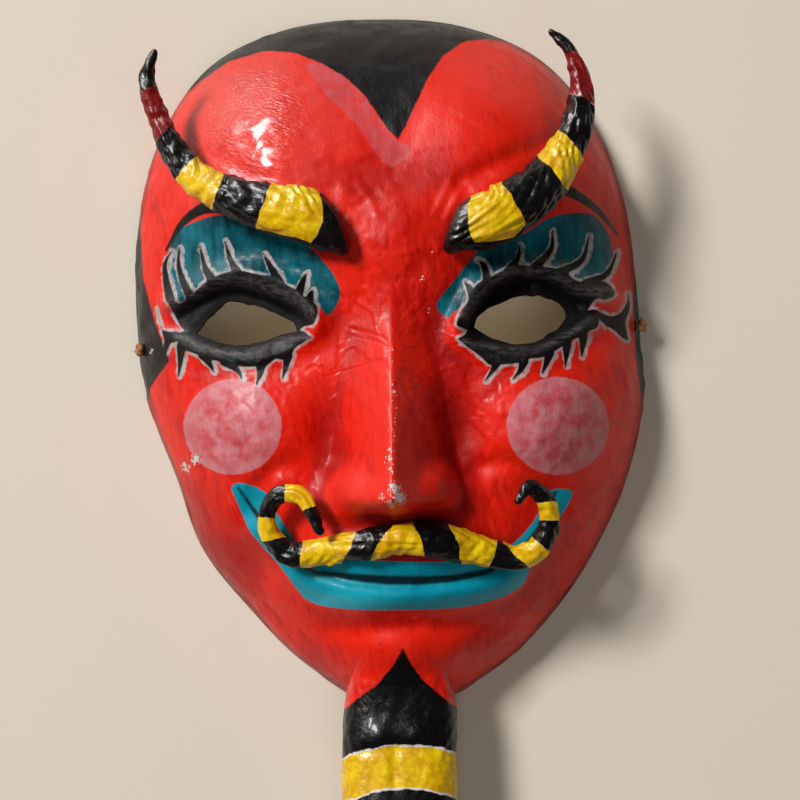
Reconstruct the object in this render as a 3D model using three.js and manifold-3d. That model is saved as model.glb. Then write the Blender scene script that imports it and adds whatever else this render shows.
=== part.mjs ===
// Devil mask of papier-mache: a moulded paper shell with rolled paper horns, moustache and goatee.
// Units are millimetres. The mask lies face up on its flat rim, which is the plane z = 0.
// +X is the viewer's right, +Y runs to the top of the forehead and +Z comes out of the face.
// The origin is under the middle of the whole mask.

import * as THREE from "three";
import * as BufferGeometryUtils from "three/addons/utils/BufferGeometryUtils.js";
import Module from "manifold-3d";

const wasm = await Module();
wasm.setup();

// Driving dimensions

// The face is laid out as it looks from EYE, a point in front of it. A place "as seen" (p, q) is where
// the line from EYE through that place meets the rim plane. Its middle (0, 0) is between the eyes.
const EYE = new THREE.Vector3(-15, -35, 900);

// Distance from the middle to the cut rim, every 15 degrees, anticlockwise from +X.
const RIM_RADII = [
  106, 108.5, 117, 128, 138, 140, 139.5, 141.5, 141, 131, 118.5, 109,
  104, 102.5, 104, 114, 123, 137.5, 150, 142, 130, 120, 113.5, 109.5,
];
const WALL = 4;
const DOME_HEIGHT = 60;
// Higher is a boxier dome, with steeper side walls.
const DOME_SQUARENESS = 2.8;

// Broad swellings (rise > 0) and hollows (rise < 0) of the face: middle as seen, half-widths, rise.
const FOREHEAD_LEFT = { at: [-46, 92], half: [36, 30], rise: 13 };
const FOREHEAD_RIGHT = { at: [45, 93], half: [34, 28], rise: 13 };
const BROW = { at: [2, 46], half: [27, 22], rise: 9 };
const BROW_LEFT = { at: [-48, 62], half: [34, 11], rise: 5 };
const BROW_RIGHT = { at: [50, 60], half: [32, 11], rise: 5 };
const SOCKET_LEFT = { at: [-60, 14], half: [31, 20], rise: -9 };
const SOCKET_RIGHT = { at: [57, 14], half: [30, 20], rise: -9 };
const CHEEK_LEFT = { at: [-64, -32], half: [27, 23], rise: 9 };
const CHEEK_RIGHT = { at: [67, -33], half: [27, 23], rise: 9 };
const NOSE_HOLLOW_LEFT = { at: [-28, -34], half: [10, 20], rise: -5 };
const NOSE_HOLLOW_RIGHT = { at: [30, -34], half: [10, 20], rise: -5 };
const MUZZLE = { at: [1, -88], half: [50, 22], rise: 10 };
const LIP_CREASE = { at: [3, -116], half: [34, 6], rise: -3 };
const CHIN = { at: [1, -130], half: [24, 15], rise: 10 };
const BROAD_FORMS = [
  FOREHEAD_LEFT, FOREHEAD_RIGHT, BROW, BROW_LEFT, BROW_RIGHT, SOCKET_LEFT, SOCKET_RIGHT, CHEEK_LEFT,
  CHEEK_RIGHT, NOSE_HOLLOW_LEFT, NOSE_HOLLOW_RIGHT, MUZZLE, LIP_CREASE, CHIN,
];

// The nose is a sharp ridge that widens and rises from its root to its tip, then drops to the lip.
const NOSE = { rootQ: 30, tipQ: -62, lipQ: -74, rootP: 2, tipP: -0.5, rise: 41, rootHalf: 12, tipHalf: 29 };
// Radius of the ridge, power of the rise towards the tip and power of the flanks' hollow curve.
const NOSE_RIDGE_ROUND = 1.5;
const NOSE_GROWTH = 1.2;
const NOSE_FLANK_CURVE = 1.3;
// Inside, for each millimetre of wall, the nose is lower and its tip further up by this much.
const NOSE_INSIDE_LOWER = 2.5;
const NOSE_INSIDE_SHORTER = 1.8;
const NOSE_WINGS = [
  { at: [-20, -57], half: [9, 9], rise: 9 },
  { at: [21, -57], half: [9, 9], rise: 9 },
];

// Raised lines on the outside only: lids and lower lip, with a groove for the mouth.
const LID_UPPER_LEFT = {
  line: [[-92, 23], [-76, 32], [-62, 35], [-50, 32], [-40, 27], [-31, 18], [-30, 13]], half: 4.5, rise: 6,
};
const LID_LOWER_LEFT = { line: [[-96, 10], [-80, 2], [-60, -1], [-44, 2], [-31, 8]], half: 4.5, rise: 4 };
const LID_UPPER_RIGHT = {
  line: [[30, 12], [37, 25], [50, 33], [64, 34], [79, 27], [86, 22], [96, 21]], half: 4.5, rise: 6,
};
const LID_LOWER_RIGHT = { line: [[28, 5], [42, -4], [54, -5], [72, 0], [86, 9]], half: 4.5, rise: 4 };
const LOWER_LIP = { line: [[-58, -74], [-42, -94], [-16, -103], [22, -104], [48, -97], [65, -74]], half: 6, rise: 4 };
const MOUTH_GROOVE = { line: [[-42, -85], [-22, -94.5], [0, -98], [24, -97], [46, -91]], half: 3, rise: -2.5 };
const RAISED_LINES = [
  LID_UPPER_LEFT, LID_LOWER_LEFT, LID_UPPER_RIGHT, LID_LOWER_RIGHT, LOWER_LIP, MOUTH_GROOVE,
];

// Eye holes as seen: the left one is an almond with two corners, the right one a tilted oval.
const EYE_LEFT_TOP = [[-82, 10], [-74, 18.5], [-66, 23.5], [-53.5, 20], [-38.5, 11]];
const EYE_LEFT_BOTTOM = [[-38.5, 11], [-45, 8], [-53, 5], [-63.5, 4], [-72.5, 5.5], [-82, 10]];
const EYE_RIGHT = { at: [56, 11], half: [20, 10.5], tilt: THREE.MathUtils.degToRad(10) };
// The height at which the eye holes have these outlines. They go straight through the shell.
const EYE_HOLE_Z = 52;

// Rolls of paper. A station is its middle as seen, its height, half its width and half its depth.
const HORN_LEFT = [
  [-20, 50, 70, 10.5, 9.5], [-39, 58.5, 70.5, 10, 9.5], [-59, 65, 66.5, 8.6, 8.6], [-76, 73, 57.5, 7.4, 7.4],
  [-86.5, 86, 52, 6.4, 6.4], [-94, 103, 49.5, 4.8, 4.8], [-97.5, 117.5, 49, 3.4, 3.4], [-94.5, 128, 50, 1.7, 1.7],
];
const HORN_RIGHT = [
  [30, 47, 69, 9.5, 9.5], [47, 56, 69, 10.5, 9.5], [65.5, 66, 62.5, 9.4, 9], [75.5, 79, 56, 8, 8],
  [83, 94, 53, 6.6, 6.6], [84.5, 111.5, 51, 4.6, 4.6], [80, 124.5, 51, 3, 3], [73, 132, 51.5, 1.5, 1.5],
];
const MOUSTACHE = [
  [-31.5, -75, 71.5, 1.8, 1.8], [-35, -66, 70.5, 2.9, 2.9], [-40, -59.5, 68, 3.7, 3.7],
  [-49.5, -59.5, 65, 3.8, 3.8], [-54, -67, 61.5, 4, 4], [-52.5, -76.5, 58.5, 4.6, 4.6],
  [-44, -84, 58, 5.4, 5.4], [-28.5, -83, 61, 5.8, 5.8], [-10.5, -81, 66, 6.6, 6.6], [3.5, -80, 67.5, 7.2, 7],
  [17, -81, 66, 7.6, 7], [32.5, -84.5, 61, 6.6, 6.4], [46.5, -88.5, 57, 5.4, 5.4], [57, -87, 55.5, 5.2, 5.2],
  [63.5, -79.5, 56.5, 4.6, 4.6], [65, -70, 58.5, 4, 4], [62, -62.5, 61, 3.6, 3.6], [57, -59.5, 63.5, 3, 3],
  [52.5, -65, 65.5, 1.6, 1.6],
];
const GOATEE = [
  [0, -128, 27, 20, 12], [0, -146, 25, 23.5, 15], [-1, -168, 25, 23.5, 16], [-1.5, -189, 27, 23.5, 16],
  [-2, -210, 31, 20, 14], [-3, -231, 37, 12, 9.5], [-3.5, -246, 43, 4, 3.5],
];

// Tie string: a knot outside each temple hole, and the twine between them lying in the hollow.
const CORD_DIAMETER = 2.5;
const TIE_HOLE_RADIUS = 2;
const TIE_HEIGHT = 12;
const KNOT_RADIUS = 3;
const KNOT_LEFT = [-104.5, 3.5, TIE_HEIGHT];
const KNOT_RIGHT = [107, 7, TIE_HEIGHT];
const CORD_ROUTE = [
  [-100.8, 3, 12], [-95, 3.2, 11.6], [-91, 5, 8.5], [-89, 10, 3.8], [-88.5, 17, 1.6], [-87.5, 28, 1.4],
  [-84, 43, 1.35], [-77, 60, 1.35], [-65, 78, 1.35], [-48, 94, 1.35], [-27, 105, 1.35], [0, 109, 1.35],
  [27, 106, 1.35], [49, 95, 1.35], [66, 79, 1.35], [78, 61, 1.35], [85, 44, 1.35], [89, 30, 1.4],
  [90.5, 20, 1.6], [91.5, 13, 3.8], [93.5, 8.5, 8.5], [97, 6.7, 11.6], [102.2, 6.4, 12],
];

// Clear gap between pieces that touch.
const GAP = 0.35;

// Mesh counts
const FACE_SPOKES = 72;
// Spokes crowd together towards the eyes by up to this angle, in radians.
const SPOKE_CROWDING = 0.14;
const OUTSIDE_RINGS = 27;
const INSIDE_RINGS = 13;
const CURVE_POINTS_PER_SPAN = 4;
const SECTION_SAMPLES = 400;
const HORN_MESH = { sides: 10, steps: 18 };
const MOUSTACHE_MESH = { sides: 8, steps: 34 };
const GOATEE_MESH = { sides: 14, steps: 12 };
const ROLL_CAP_RINGS = 2;
const EYE_RIGHT_SIDES = 28;
const TIE_HOLE_SIDES = 12;
const KNOT_DETAIL = 1;
const CORD_SIDES = 8;
const CORD_STEPS = 54;

const TURN = 2 * Math.PI;

// Layout

// The point at height z that looks from EYE as if it were at (p, q) on the rim plane.
function standing(p, q, z) {
  const shrink = (EYE.z - z) / EYE.z;
  return new THREE.Vector3(EYE.x + (p - EYE.x) * shrink, EYE.y + (q - EYE.y) * shrink, z);
}

// Smooth curve through flat points.
function smoothLine(points) {
  const curve = new THREE.CatmullRomCurve3(points.map(([p, q]) => new THREE.Vector3(p, q, 0)), false, "catmullrom");
  return curve.getPoints((points.length - 1) * CURVE_POINTS_PER_SPAN);
}

// Rim radius at an angle: the listed radii joined by a smooth closed curve.
function rimRadius(angle) {
  const count = RIM_RADII.length;
  const place = (((angle / TURN) % 1) + 1) % 1 * count;
  const index = Math.floor(place) % count;
  const t = place - Math.floor(place);
  const [before, from, to, after] = [-1, 0, 1, 2].map((step) => RIM_RADII[(index + step + count) % count]);
  const slopeFrom = (to - before) / 2;
  const slopeTo = (after - from) / 2;
  const turnIn = 3 * (to - from) - 2 * slopeFrom - slopeTo;
  const turnOut = slopeFrom + slopeTo - 2 * (to - from);
  return from + t * (slopeFrom + t * (turnIn + t * turnOut));
}

// Face height

// Height of a swelling with a bell-shaped section.
function bell(form, p, q) {
  const across = (p - form.at[0]) / form.half[0];
  const along = (q - form.at[1]) / form.half[1];
  return form.rise * Math.exp(-across * across - along * along);
}

function distanceToLine(line, p, q) {
  let nearest = Infinity;
  for (let i = 0; i + 1 < line.length; i += 1) {
    const spanP = line[i + 1].x - line[i].x;
    const spanQ = line[i + 1].y - line[i].y;
    const along = ((p - line[i].x) * spanP + (q - line[i].y) * spanQ) / (spanP * spanP + spanQ * spanQ);
    const t = THREE.MathUtils.clamp(along, 0, 1);
    nearest = Math.min(nearest, Math.hypot(p - line[i].x - t * spanP, q - line[i].y - t * spanQ));
  }
  return nearest;
}

const raisedLines = RAISED_LINES.map((form) => ({ ...form, curve: smoothLine(form.line) }));

function raised(form, p, q) {
  const off = distanceToLine(form.curve, p, q) / form.half;
  return form.rise * Math.exp(-off * off);
}

// The nose: a tent over a ridge line. Inside the shell it is lower and narrower by the inset.
function nose(p, q, inset) {
  const grown = THREE.MathUtils.clamp((NOSE.rootQ - q) / (NOSE.rootQ - NOSE.tipQ), 0, 1);
  const ridgeP = THREE.MathUtils.lerp(NOSE.rootP, NOSE.tipP, grown);
  const half = THREE.MathUtils.lerp(NOSE.rootHalf, NOSE.tipHalf, grown) - inset;
  const rise = (NOSE.rise - NOSE_INSIDE_LOWER * inset) * grown ** NOSE_GROWTH;
  const ridgeRound = NOSE_RIDGE_ROUND + inset;
  const off = Math.hypot(p - ridgeP, ridgeRound) - ridgeRound;
  return rise * Math.max(0, 1 - off / half) ** NOSE_FLANK_CURVE;
}

// How far the lip side of the nose has dropped: 1 above the tip, 0 at the lip.
function noseDrop(q, inset) {
  const shorter = NOSE_INSIDE_SHORTER * inset;
  return THREE.MathUtils.smoothstep(q, NOSE.lipQ + shorter, NOSE.tipQ + shorter);
}

// Height of the face at a place as seen. s is 0 at the middle and 1 at the rim, and inset is 0 on the
// outside and the wall thickness on the inside.
function faceHeight(p, q, s, inset) {
  const fullness = Math.sqrt(Math.max(0, 1 - s ** DOME_SQUARENESS));
  let relief = nose(p, q, inset) * noseDrop(q, inset);
  for (const form of BROAD_FORMS) relief += bell(form, p, q);
  if (inset === 0) {
    for (const wing of NOSE_WINGS) relief += bell(wing, p, q) * noseDrop(q, inset);
    for (const form of raisedLines) relief += raised(form, p, q);
  }
  return (DOME_HEIGHT - inset) * fullness + relief * (1 - (1 - fullness) ** 3);
}

// Solids

// Ring places from the middle to the rim, evenly spaced along the dome's section.
function ringPlaces(count) {
  const places = [0];
  const lengths = [0];
  let lastHeight = DOME_HEIGHT;
  for (let i = 1; i <= SECTION_SAMPLES; i += 1) {
    const turned = (i / SECTION_SAMPLES) * Math.PI / 2;
    const place = Math.sin(turned) ** (2 / DOME_SQUARENESS);
    const height = DOME_HEIGHT * Math.cos(turned);
    const step = Math.hypot((place - places[i - 1]) * 2 * DOME_HEIGHT, height - lastHeight);
    places.push(place);
    lengths.push(lengths[i - 1] + step);
    lastHeight = height;
  }
  const rings = [];
  for (let ring = 1; ring < count; ring += 1) {
    const target = (ring / count) * lengths[SECTION_SAMPLES];
    const i = lengths.findIndex((length) => length >= target);
    const t = (target - lengths[i - 1]) / (lengths[i] - lengths[i - 1]);
    rings.push(THREE.MathUtils.lerp(places[i - 1], places[i], t));
  }
  return [...rings, 1];
}

// Spoke angles, closer together towards the eyes than towards the forehead and the chin.
function spokeAngle(spoke) {
  const even = (spoke / FACE_SPOKES) * TURN;
  return even - SPOKE_CROWDING * Math.sin(2 * even);
}

function closedGeometry(vertices, triangles) {
  const geometry = new THREE.BufferGeometry();
  geometry.setAttribute("position", new THREE.Float32BufferAttribute(vertices.flatMap((v) => [v.x, v.y, v.z]), 3));
  geometry.setIndex(triangles);
  return geometry;
}

// One skin of the shell as a fan round the middle and rings out to the rim.
function skinVertices(ringCount, inset) {
  const vertices = [standing(0, 0, faceHeight(0, 0, 0, inset))];
  for (const s of ringPlaces(ringCount)) {
    for (let spoke = 0; spoke < FACE_SPOKES; spoke += 1) {
      const angle = spokeAngle(spoke);
      const reach = (rimRadius(angle) - inset) * s;
      const p = reach * Math.cos(angle);
      const q = reach * Math.sin(angle);
      vertices.push(standing(p, q, faceHeight(p, q, s, inset)));
    }
  }
  return vertices;
}

// Each four-sided cell is split along its shorter diagonal, so ridges and grooves stay clean.
function skinTriangles(vertices, ringCount, start, flipped) {
  const triangles = [];
  const add = (a, b, c) => triangles.push(...(flipped ? [a, c, b] : [a, b, c]).map((i) => i + start));
  for (let spoke = 0; spoke < FACE_SPOKES; spoke += 1) {
    const next = (spoke + 1) % FACE_SPOKES;
    add(0, 1 + spoke, 1 + next);
    for (let ring = 0; ring + 1 < ringCount; ring += 1) {
      const inner = 1 + ring * FACE_SPOKES;
      const outer = inner + FACE_SPOKES;
      const [a, b, c, d] = [inner + spoke, outer + spoke, outer + next, inner + next];
      if (vertices[a].distanceTo(vertices[c]) < vertices[b].distanceTo(vertices[d])) {
        add(a, b, c);
        add(a, c, d);
      } else {
        add(a, b, d);
        add(b, c, d);
      }
    }
  }
  return triangles;
}

// The hollow shell: an outer skin, an inner skin and the flat rim between them.
function shellGeometry() {
  const outside = skinVertices(OUTSIDE_RINGS, 0);
  const inside = skinVertices(INSIDE_RINGS, WALL);
  const triangles = [
    ...skinTriangles(outside, OUTSIDE_RINGS, 0, false),
    ...skinTriangles(inside, INSIDE_RINGS, outside.length, true),
  ];
  const outsideRim = outside.length - FACE_SPOKES;
  const insideRim = outside.length + inside.length - FACE_SPOKES;
  for (let spoke = 0; spoke < FACE_SPOKES; spoke += 1) {
    const next = (spoke + 1) % FACE_SPOKES;
    triangles.push(outsideRim + spoke, insideRim + spoke, outsideRim + next);
    triangles.push(outsideRim + next, insideRim + spoke, insideRim + next);
  }
  return closedGeometry([...outside, ...inside], triangles);
}

// Everything under the outer skin, grown by the gap, to cut the pieces that are stuck on the face.
function faceCutterGeometry() {
  const outside = skinVertices(OUTSIDE_RINGS, 0);
  const triangles = skinTriangles(outside, OUTSIDE_RINGS, 0, false);
  const skin = closedGeometry(outside, [...triangles]);
  skin.computeVertexNormals();
  const position = skin.getAttribute("position");
  const normal = skin.getAttribute("normal");
  const vertices = [];
  for (let i = 0; i < position.count; i += 1) {
    const out = new THREE.Vector3().fromBufferAttribute(normal, i).multiplyScalar(GAP);
    vertices.push(out.add(new THREE.Vector3().fromBufferAttribute(position, i)));
  }
  const rim = vertices.length - FACE_SPOKES;
  const bottom = vertices.length;
  const below = 1;
  vertices.push(new THREE.Vector3(0, 0, -below));
  for (let spoke = 0; spoke < FACE_SPOKES; spoke += 1) {
    const next = (spoke + 1) % FACE_SPOKES;
    triangles.push(bottom, rim + next, rim + spoke);
  }
  return closedGeometry(vertices, triangles);
}

// A roll of paper: an oval section carried along a smooth path, with rounded ends.
function rollGeometry(stations, { sides, steps }) {
  const path = new THREE.CatmullRomCurve3(stations.map(([p, q, z]) => standing(p, q, z)), false, "catmullrom");
  const sizes = new THREE.CatmullRomCurve3(
    stations.map(([, , , halfWidth, halfDepth]) => new THREE.Vector3(halfWidth, halfDepth, 0)), false, "catmullrom");
  const rings = [];
  const addRing = (t, beyond, scale) => {
    const tangent = path.getTangent(t);
    const across = new THREE.Vector3().crossVectors(tangent, new THREE.Vector3(0, 0, 1)).normalize();
    const up = new THREE.Vector3().crossVectors(across, tangent);
    const size = sizes.getPoint(t);
    const middle = path.getPoint(t).addScaledVector(tangent, beyond * size.y);
    const ring = [];
    for (let side = 0; side < sides; side += 1) {
      const angle = (side / sides) * TURN;
      const vertex = middle.clone().addScaledVector(across, size.x * scale * Math.cos(angle));
      ring.push(vertex.addScaledVector(up, size.y * scale * Math.sin(angle)));
    }
    rings.push(ring);
  };
  for (let cap = ROLL_CAP_RINGS; cap > 0; cap -= 1) {
    const lift = (cap / (ROLL_CAP_RINGS + 1)) * Math.PI / 2;
    addRing(0, -Math.sin(lift), Math.cos(lift));
  }
  for (let step = 0; step <= steps; step += 1) addRing(step / steps, 0, 1);
  for (let cap = 1; cap <= ROLL_CAP_RINGS; cap += 1) {
    const lift = (cap / (ROLL_CAP_RINGS + 1)) * Math.PI / 2;
    addRing(1, Math.sin(lift), Math.cos(lift));
  }
  const startPoint = path.getPoint(0).addScaledVector(path.getTangent(0), -sizes.getPoint(0).y);
  const endPoint = path.getPoint(1).addScaledVector(path.getTangent(1), sizes.getPoint(1).y);
  const vertices = [...rings.flat(), startPoint, endPoint];
  const startIndex = vertices.length - 2;
  const endIndex = vertices.length - 1;
  const lastRing = (rings.length - 1) * sides;
  const triangles = [];
  for (let side = 0; side < sides; side += 1) {
    const next = (side + 1) % sides;
    for (let ring = 0; ring + 1 < rings.length; ring += 1) {
      const here = ring * sides;
      const there = here + sides;
      triangles.push(here + side, there + next, here + next);
      triangles.push(here + side, there + side, there + next);
    }
    triangles.push(startIndex, side, next);
    triangles.push(endIndex, lastRing + next, lastRing + side);
  }
  return closedGeometry(vertices, triangles);
}

// Outline of an eye hole at its own height, carried straight through the shell.
function eyeCutterGeometry(outline) {
  const corners = outline.map(({ x, y }) => standing(x, y, EYE_HOLE_Z));
  const shape = new THREE.Shape(corners.map(({ x, y }) => new THREE.Vector2(x, y)));
  return new THREE.ExtrudeGeometry(shape, { depth: 2 * DOME_HEIGHT, bevelEnabled: false });
}

function eyeLeftOutline() {
  return [...smoothLine(EYE_LEFT_TOP).slice(0, -1), ...smoothLine(EYE_LEFT_BOTTOM).slice(0, -1)];
}

function eyeRightOutline() {
  const { at, half, tilt } = EYE_RIGHT;
  const curve = new THREE.EllipseCurve(at[0], at[1], half[0], half[1], 0, TURN, false, tilt);
  return curve.getPoints(EYE_RIGHT_SIDES).slice(0, -1);
}

function tieHoleGeometry([p, q, z]) {
  const length = 30;
  const hole = new THREE.CylinderGeometry(TIE_HOLE_RADIUS, TIE_HOLE_RADIUS, length, TIE_HOLE_SIDES);
  hole.rotateZ(Math.PI / 2);
  const { x, y } = standing(p, q, z);
  return hole.translate(x, y, z);
}

function knotGeometry([p, q, z]) {
  const { x, y } = standing(p, q, z);
  return new THREE.IcosahedronGeometry(KNOT_RADIUS, KNOT_DETAIL).translate(x, y, z);
}

function cordGeometry() {
  const route = new THREE.CatmullRomCurve3(
    CORD_ROUTE.map((point) => new THREE.Vector3(...point)), false, "catmullrom");
  const section = new THREE.Shape(
    new THREE.EllipseCurve(0, 0, CORD_DIAMETER / 2, CORD_DIAMETER / 2).getPoints(CORD_SIDES).slice(0, -1));
  return new THREE.ExtrudeGeometry(section, { steps: CORD_STEPS, extrudePath: route, bevelEnabled: false });
}

// Cutting and joining

function solidOf(geometry) {
  geometry.deleteAttribute("normal");
  geometry.deleteAttribute("uv");
  const merged = BufferGeometryUtils.mergeVertices(geometry);
  return new wasm.Manifold(new wasm.Mesh({
    numProp: 3,
    vertProperties: new Float32Array(merged.getAttribute("position").array),
    triVerts: new Uint32Array(merged.getIndex().array),
  }));
}

function geometryOf(solid) {
  const mesh = solid.getMesh();
  const geometry = new THREE.BufferGeometry();
  geometry.setAttribute("position", new THREE.BufferAttribute(mesh.vertProperties, 3));
  geometry.setIndex(new THREE.BufferAttribute(mesh.triVerts, 1));
  return geometry;
}

const faceCutter = solidOf(faceCutterGeometry());

function stuckOnFace(geometry) {
  return geometryOf(solidOf(geometry).subtract(faceCutter));
}

// The mask

const mask = new THREE.Group();

function addPiece(name, geometry, color, roughness) {
  geometry.deleteAttribute("normal");
  geometry.deleteAttribute("uv");
  const merged = BufferGeometryUtils.mergeVertices(geometry);
  merged.computeVertexNormals();
  const piece = new THREE.Mesh(merged, new THREE.MeshStandardMaterial({ color, roughness, metalness: 0 }));
  piece.name = name;
  mask.add(piece);
  return piece;
}

const RED_PAINT = 0xe0301f;
const BLACK_PAINT = 0x1a1718;
const YELLOW_PAINT = 0xe8c81c;
const TWINE = 0x9a5a2c;
const VARNISHED = 0.35;
const FIBROUS = 0.9;

const shell = solidOf(shellGeometry())
  .subtract(solidOf(eyeCutterGeometry(eyeLeftOutline())))
  .subtract(solidOf(eyeCutterGeometry(eyeRightOutline())))
  .subtract(solidOf(tieHoleGeometry(KNOT_LEFT)))
  .subtract(solidOf(tieHoleGeometry(KNOT_RIGHT)));

const body = [
  addPiece("mask_shell", geometryOf(shell), RED_PAINT, VARNISHED),
  addPiece("horn_left", stuckOnFace(rollGeometry(HORN_LEFT, HORN_MESH)), YELLOW_PAINT, VARNISHED),
  addPiece("horn_right", stuckOnFace(rollGeometry(HORN_RIGHT, HORN_MESH)), YELLOW_PAINT, VARNISHED),
  addPiece("moustache", stuckOnFace(rollGeometry(MOUSTACHE, MOUSTACHE_MESH)), YELLOW_PAINT, VARNISHED),
  addPiece("goatee", stuckOnFace(rollGeometry(GOATEE, GOATEE_MESH)), BLACK_PAINT, VARNISHED),
];
addPiece("knot_left", stuckOnFace(knotGeometry(KNOT_LEFT)), TWINE, FIBROUS);
addPiece("knot_right", stuckOnFace(knotGeometry(KNOT_RIGHT)), TWINE, FIBROUS);
addPiece("tie_cord", cordGeometry(), TWINE, FIBROUS);

// The origin goes under the middle of the mask, measured without its string.
const box = new THREE.Box3();
for (const piece of body) box.expandByObject(piece);
const middle = box.getCenter(new THREE.Vector3());
mask.position.set(-middle.x, -middle.y, 0);

export default mask;
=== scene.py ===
# %% [markdown]
# # A papier-mache devil mask
# This lesson dresses a packed model of a carnival mask: a moulded paper shell, painted red and
# varnished, with rolled paper horns for eyebrows, a curled moustache, a goatee and a tie string.
# The packed model fixes every size and place. The cells below build the fine surface over it.

import math

import bpy
import numpy as np
from mathutils import Matrix, Vector


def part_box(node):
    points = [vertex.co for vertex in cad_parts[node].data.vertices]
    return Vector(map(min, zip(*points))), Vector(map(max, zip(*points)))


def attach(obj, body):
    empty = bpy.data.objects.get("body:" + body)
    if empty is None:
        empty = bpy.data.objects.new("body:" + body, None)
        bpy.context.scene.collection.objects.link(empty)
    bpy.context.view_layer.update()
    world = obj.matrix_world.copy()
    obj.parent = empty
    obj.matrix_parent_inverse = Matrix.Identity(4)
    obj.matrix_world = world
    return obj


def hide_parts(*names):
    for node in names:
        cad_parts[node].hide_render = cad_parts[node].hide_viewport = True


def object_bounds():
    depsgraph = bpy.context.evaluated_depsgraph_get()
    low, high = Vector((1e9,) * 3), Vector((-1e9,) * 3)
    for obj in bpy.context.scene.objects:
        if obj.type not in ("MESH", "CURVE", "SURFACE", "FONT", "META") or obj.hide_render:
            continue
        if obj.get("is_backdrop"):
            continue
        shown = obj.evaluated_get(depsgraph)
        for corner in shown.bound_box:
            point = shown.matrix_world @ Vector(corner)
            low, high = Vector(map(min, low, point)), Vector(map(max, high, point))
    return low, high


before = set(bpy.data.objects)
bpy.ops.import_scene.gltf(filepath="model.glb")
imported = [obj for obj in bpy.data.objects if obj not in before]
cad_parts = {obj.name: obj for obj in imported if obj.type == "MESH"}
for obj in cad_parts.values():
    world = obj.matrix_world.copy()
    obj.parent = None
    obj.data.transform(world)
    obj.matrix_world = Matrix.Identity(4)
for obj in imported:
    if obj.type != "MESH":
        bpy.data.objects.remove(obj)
cad_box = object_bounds()
print("packed nodes:", sorted(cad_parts))

# %% [markdown]
# ## How the face is laid out
# A mask is judged from in front, so its features are placed as seen from one point before it, like a
# drawing on glass. A place "as seen" (p, q) is where the line from EYE through a point meets the rim
# plane, in millimetres, with (0, 0) between the eyes. One function goes from there to the solid face
# and one goes back, so paint that is drawn on the flat lands on every bump exactly.

# %% Layout: from a place as seen to a point of the face, and back
MM = 0.001
EYE = np.array([-15.0, -35.0, 900.0])


def standing(p, q, z):
    """The point at height z on the line from EYE to (p, q) on the rim plane: both flat coordinates
    shrink towards EYE by the share of the way that z has climbed."""
    shrink = (EYE[2] - z) / EYE[2]
    return np.stack([EYE[0] + (p - EYE[0]) * shrink, EYE[1] + (q - EYE[1]) * shrink, z + 0.0 * p], axis=-1)


def as_seen(points):
    """The way back: the flat coordinates grow away from EYE by the same share."""
    grow = EYE[2] / (EYE[2] - points[:, 2])
    return EYE[0] + (points[:, 0] - EYE[0]) * grow, EYE[1] + (points[:, 1] - EYE[1]) * grow


print("looked at from, mm above the rim plane:", EYE[2])

# %% The cut rim
# Distance from the middle to the rim, every 15 degrees, anticlockwise from +X.
RIM_RADII = np.array([
    106, 108.5, 117, 128, 138, 140, 139.5, 141.5, 141, 131, 118.5, 109,
    104, 102.5, 104, 114, 123, 137.5, 150, 142, 130, 120, 113.5, 109.5,
])


def cubic(before, start, end, after, t):
    """Share t of the way from start to end, on a cubic whose slope at each of the two is half the
    step between its neighbours."""
    slope_start = (end - before) / 2
    slope_end = (after - start) / 2
    bend = 3 * (end - start) - 2 * slope_start - slope_end
    twist = slope_start + slope_end - 2 * (end - start)
    return start + t * (slope_start + t * (bend + t * twist))


def rim_radius(angle):
    """The listed radii joined by a smooth closed cubic."""
    count = len(RIM_RADII)
    place = (angle / math.tau) % 1 * count
    index = np.floor(place).astype(int) % count
    t = place - np.floor(place)
    return cubic(*[RIM_RADII[(index + step) % count] for step in (-1, 0, 1, 2)], t)


def rim_share(p, q, inset=0.0):
    """How far a place is from the middle: 0 there and 1 at the rim, less the inset."""
    return np.hypot(p, q) / (rim_radius(np.arctan2(q, p)) - inset)


# Spokes crowd together towards the eyes by up to this angle, in radians.
SPOKE_CROWDING = 0.14
CAD_SPOKES = 72


def spoke_angles(count):
    """Even angles pulled towards the two eyes by a sine of twice the angle."""
    even = np.arange(count) / count * math.tau
    return even - SPOKE_CROWDING * np.sin(2 * even)


cad_angles = spoke_angles(CAD_SPOKES)
cad_rim = rim_radius(cad_angles)[:, None] * np.stack([np.cos(cad_angles), np.sin(cad_angles)], axis=1)
shell_low = np.array(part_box("mask_shell")[0]) / MM
FACE_MIDDLE = np.array([*(shell_low[:2] - cad_rim.min(axis=0)), 0.0])
print("middle of the face, mm:", FACE_MIDDLE.round(2))

# %% [markdown]
# ## Camera
# The mask lies on its rim, so the camera looks down on it, from the point EYE. The mask in the
# picture leans a little: the camera is rolled by the same angle.

# %% Camera
# The middle line of the face leans by 20 pixels over 612, and a pixel covers 0.42 mm.
LEAN = math.atan(20 / 612)
MM_PER_PIXEL = 0.42
PICTURE_PIXELS = 800
PICTURE_MIDDLE = np.array([4.0, -21.0, 0.0])
camera_data = bpy.data.cameras.new("camera")
camera = bpy.data.objects.new("camera", camera_data)
bpy.context.scene.collection.objects.link(camera)
bpy.context.scene.camera = camera
camera_place = Vector((EYE + FACE_MIDDLE) * MM)
camera_target = Vector((PICTURE_MIDDLE + FACE_MIDDLE) * MM)
looking = (camera_target - camera_place).normalized()
upwards = Vector((math.sin(LEAN), math.cos(LEAN), 0))
rightwards = looking.cross(upwards).normalized()
upwards = rightwards.cross(looking)
turn = Matrix((rightwards, upwards, -looking)).transposed().to_4x4()
camera.matrix_world = Matrix.Translation(camera_place) @ turn
half_picture = PICTURE_PIXELS / 2 * MM_PER_PIXEL * MM
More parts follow.
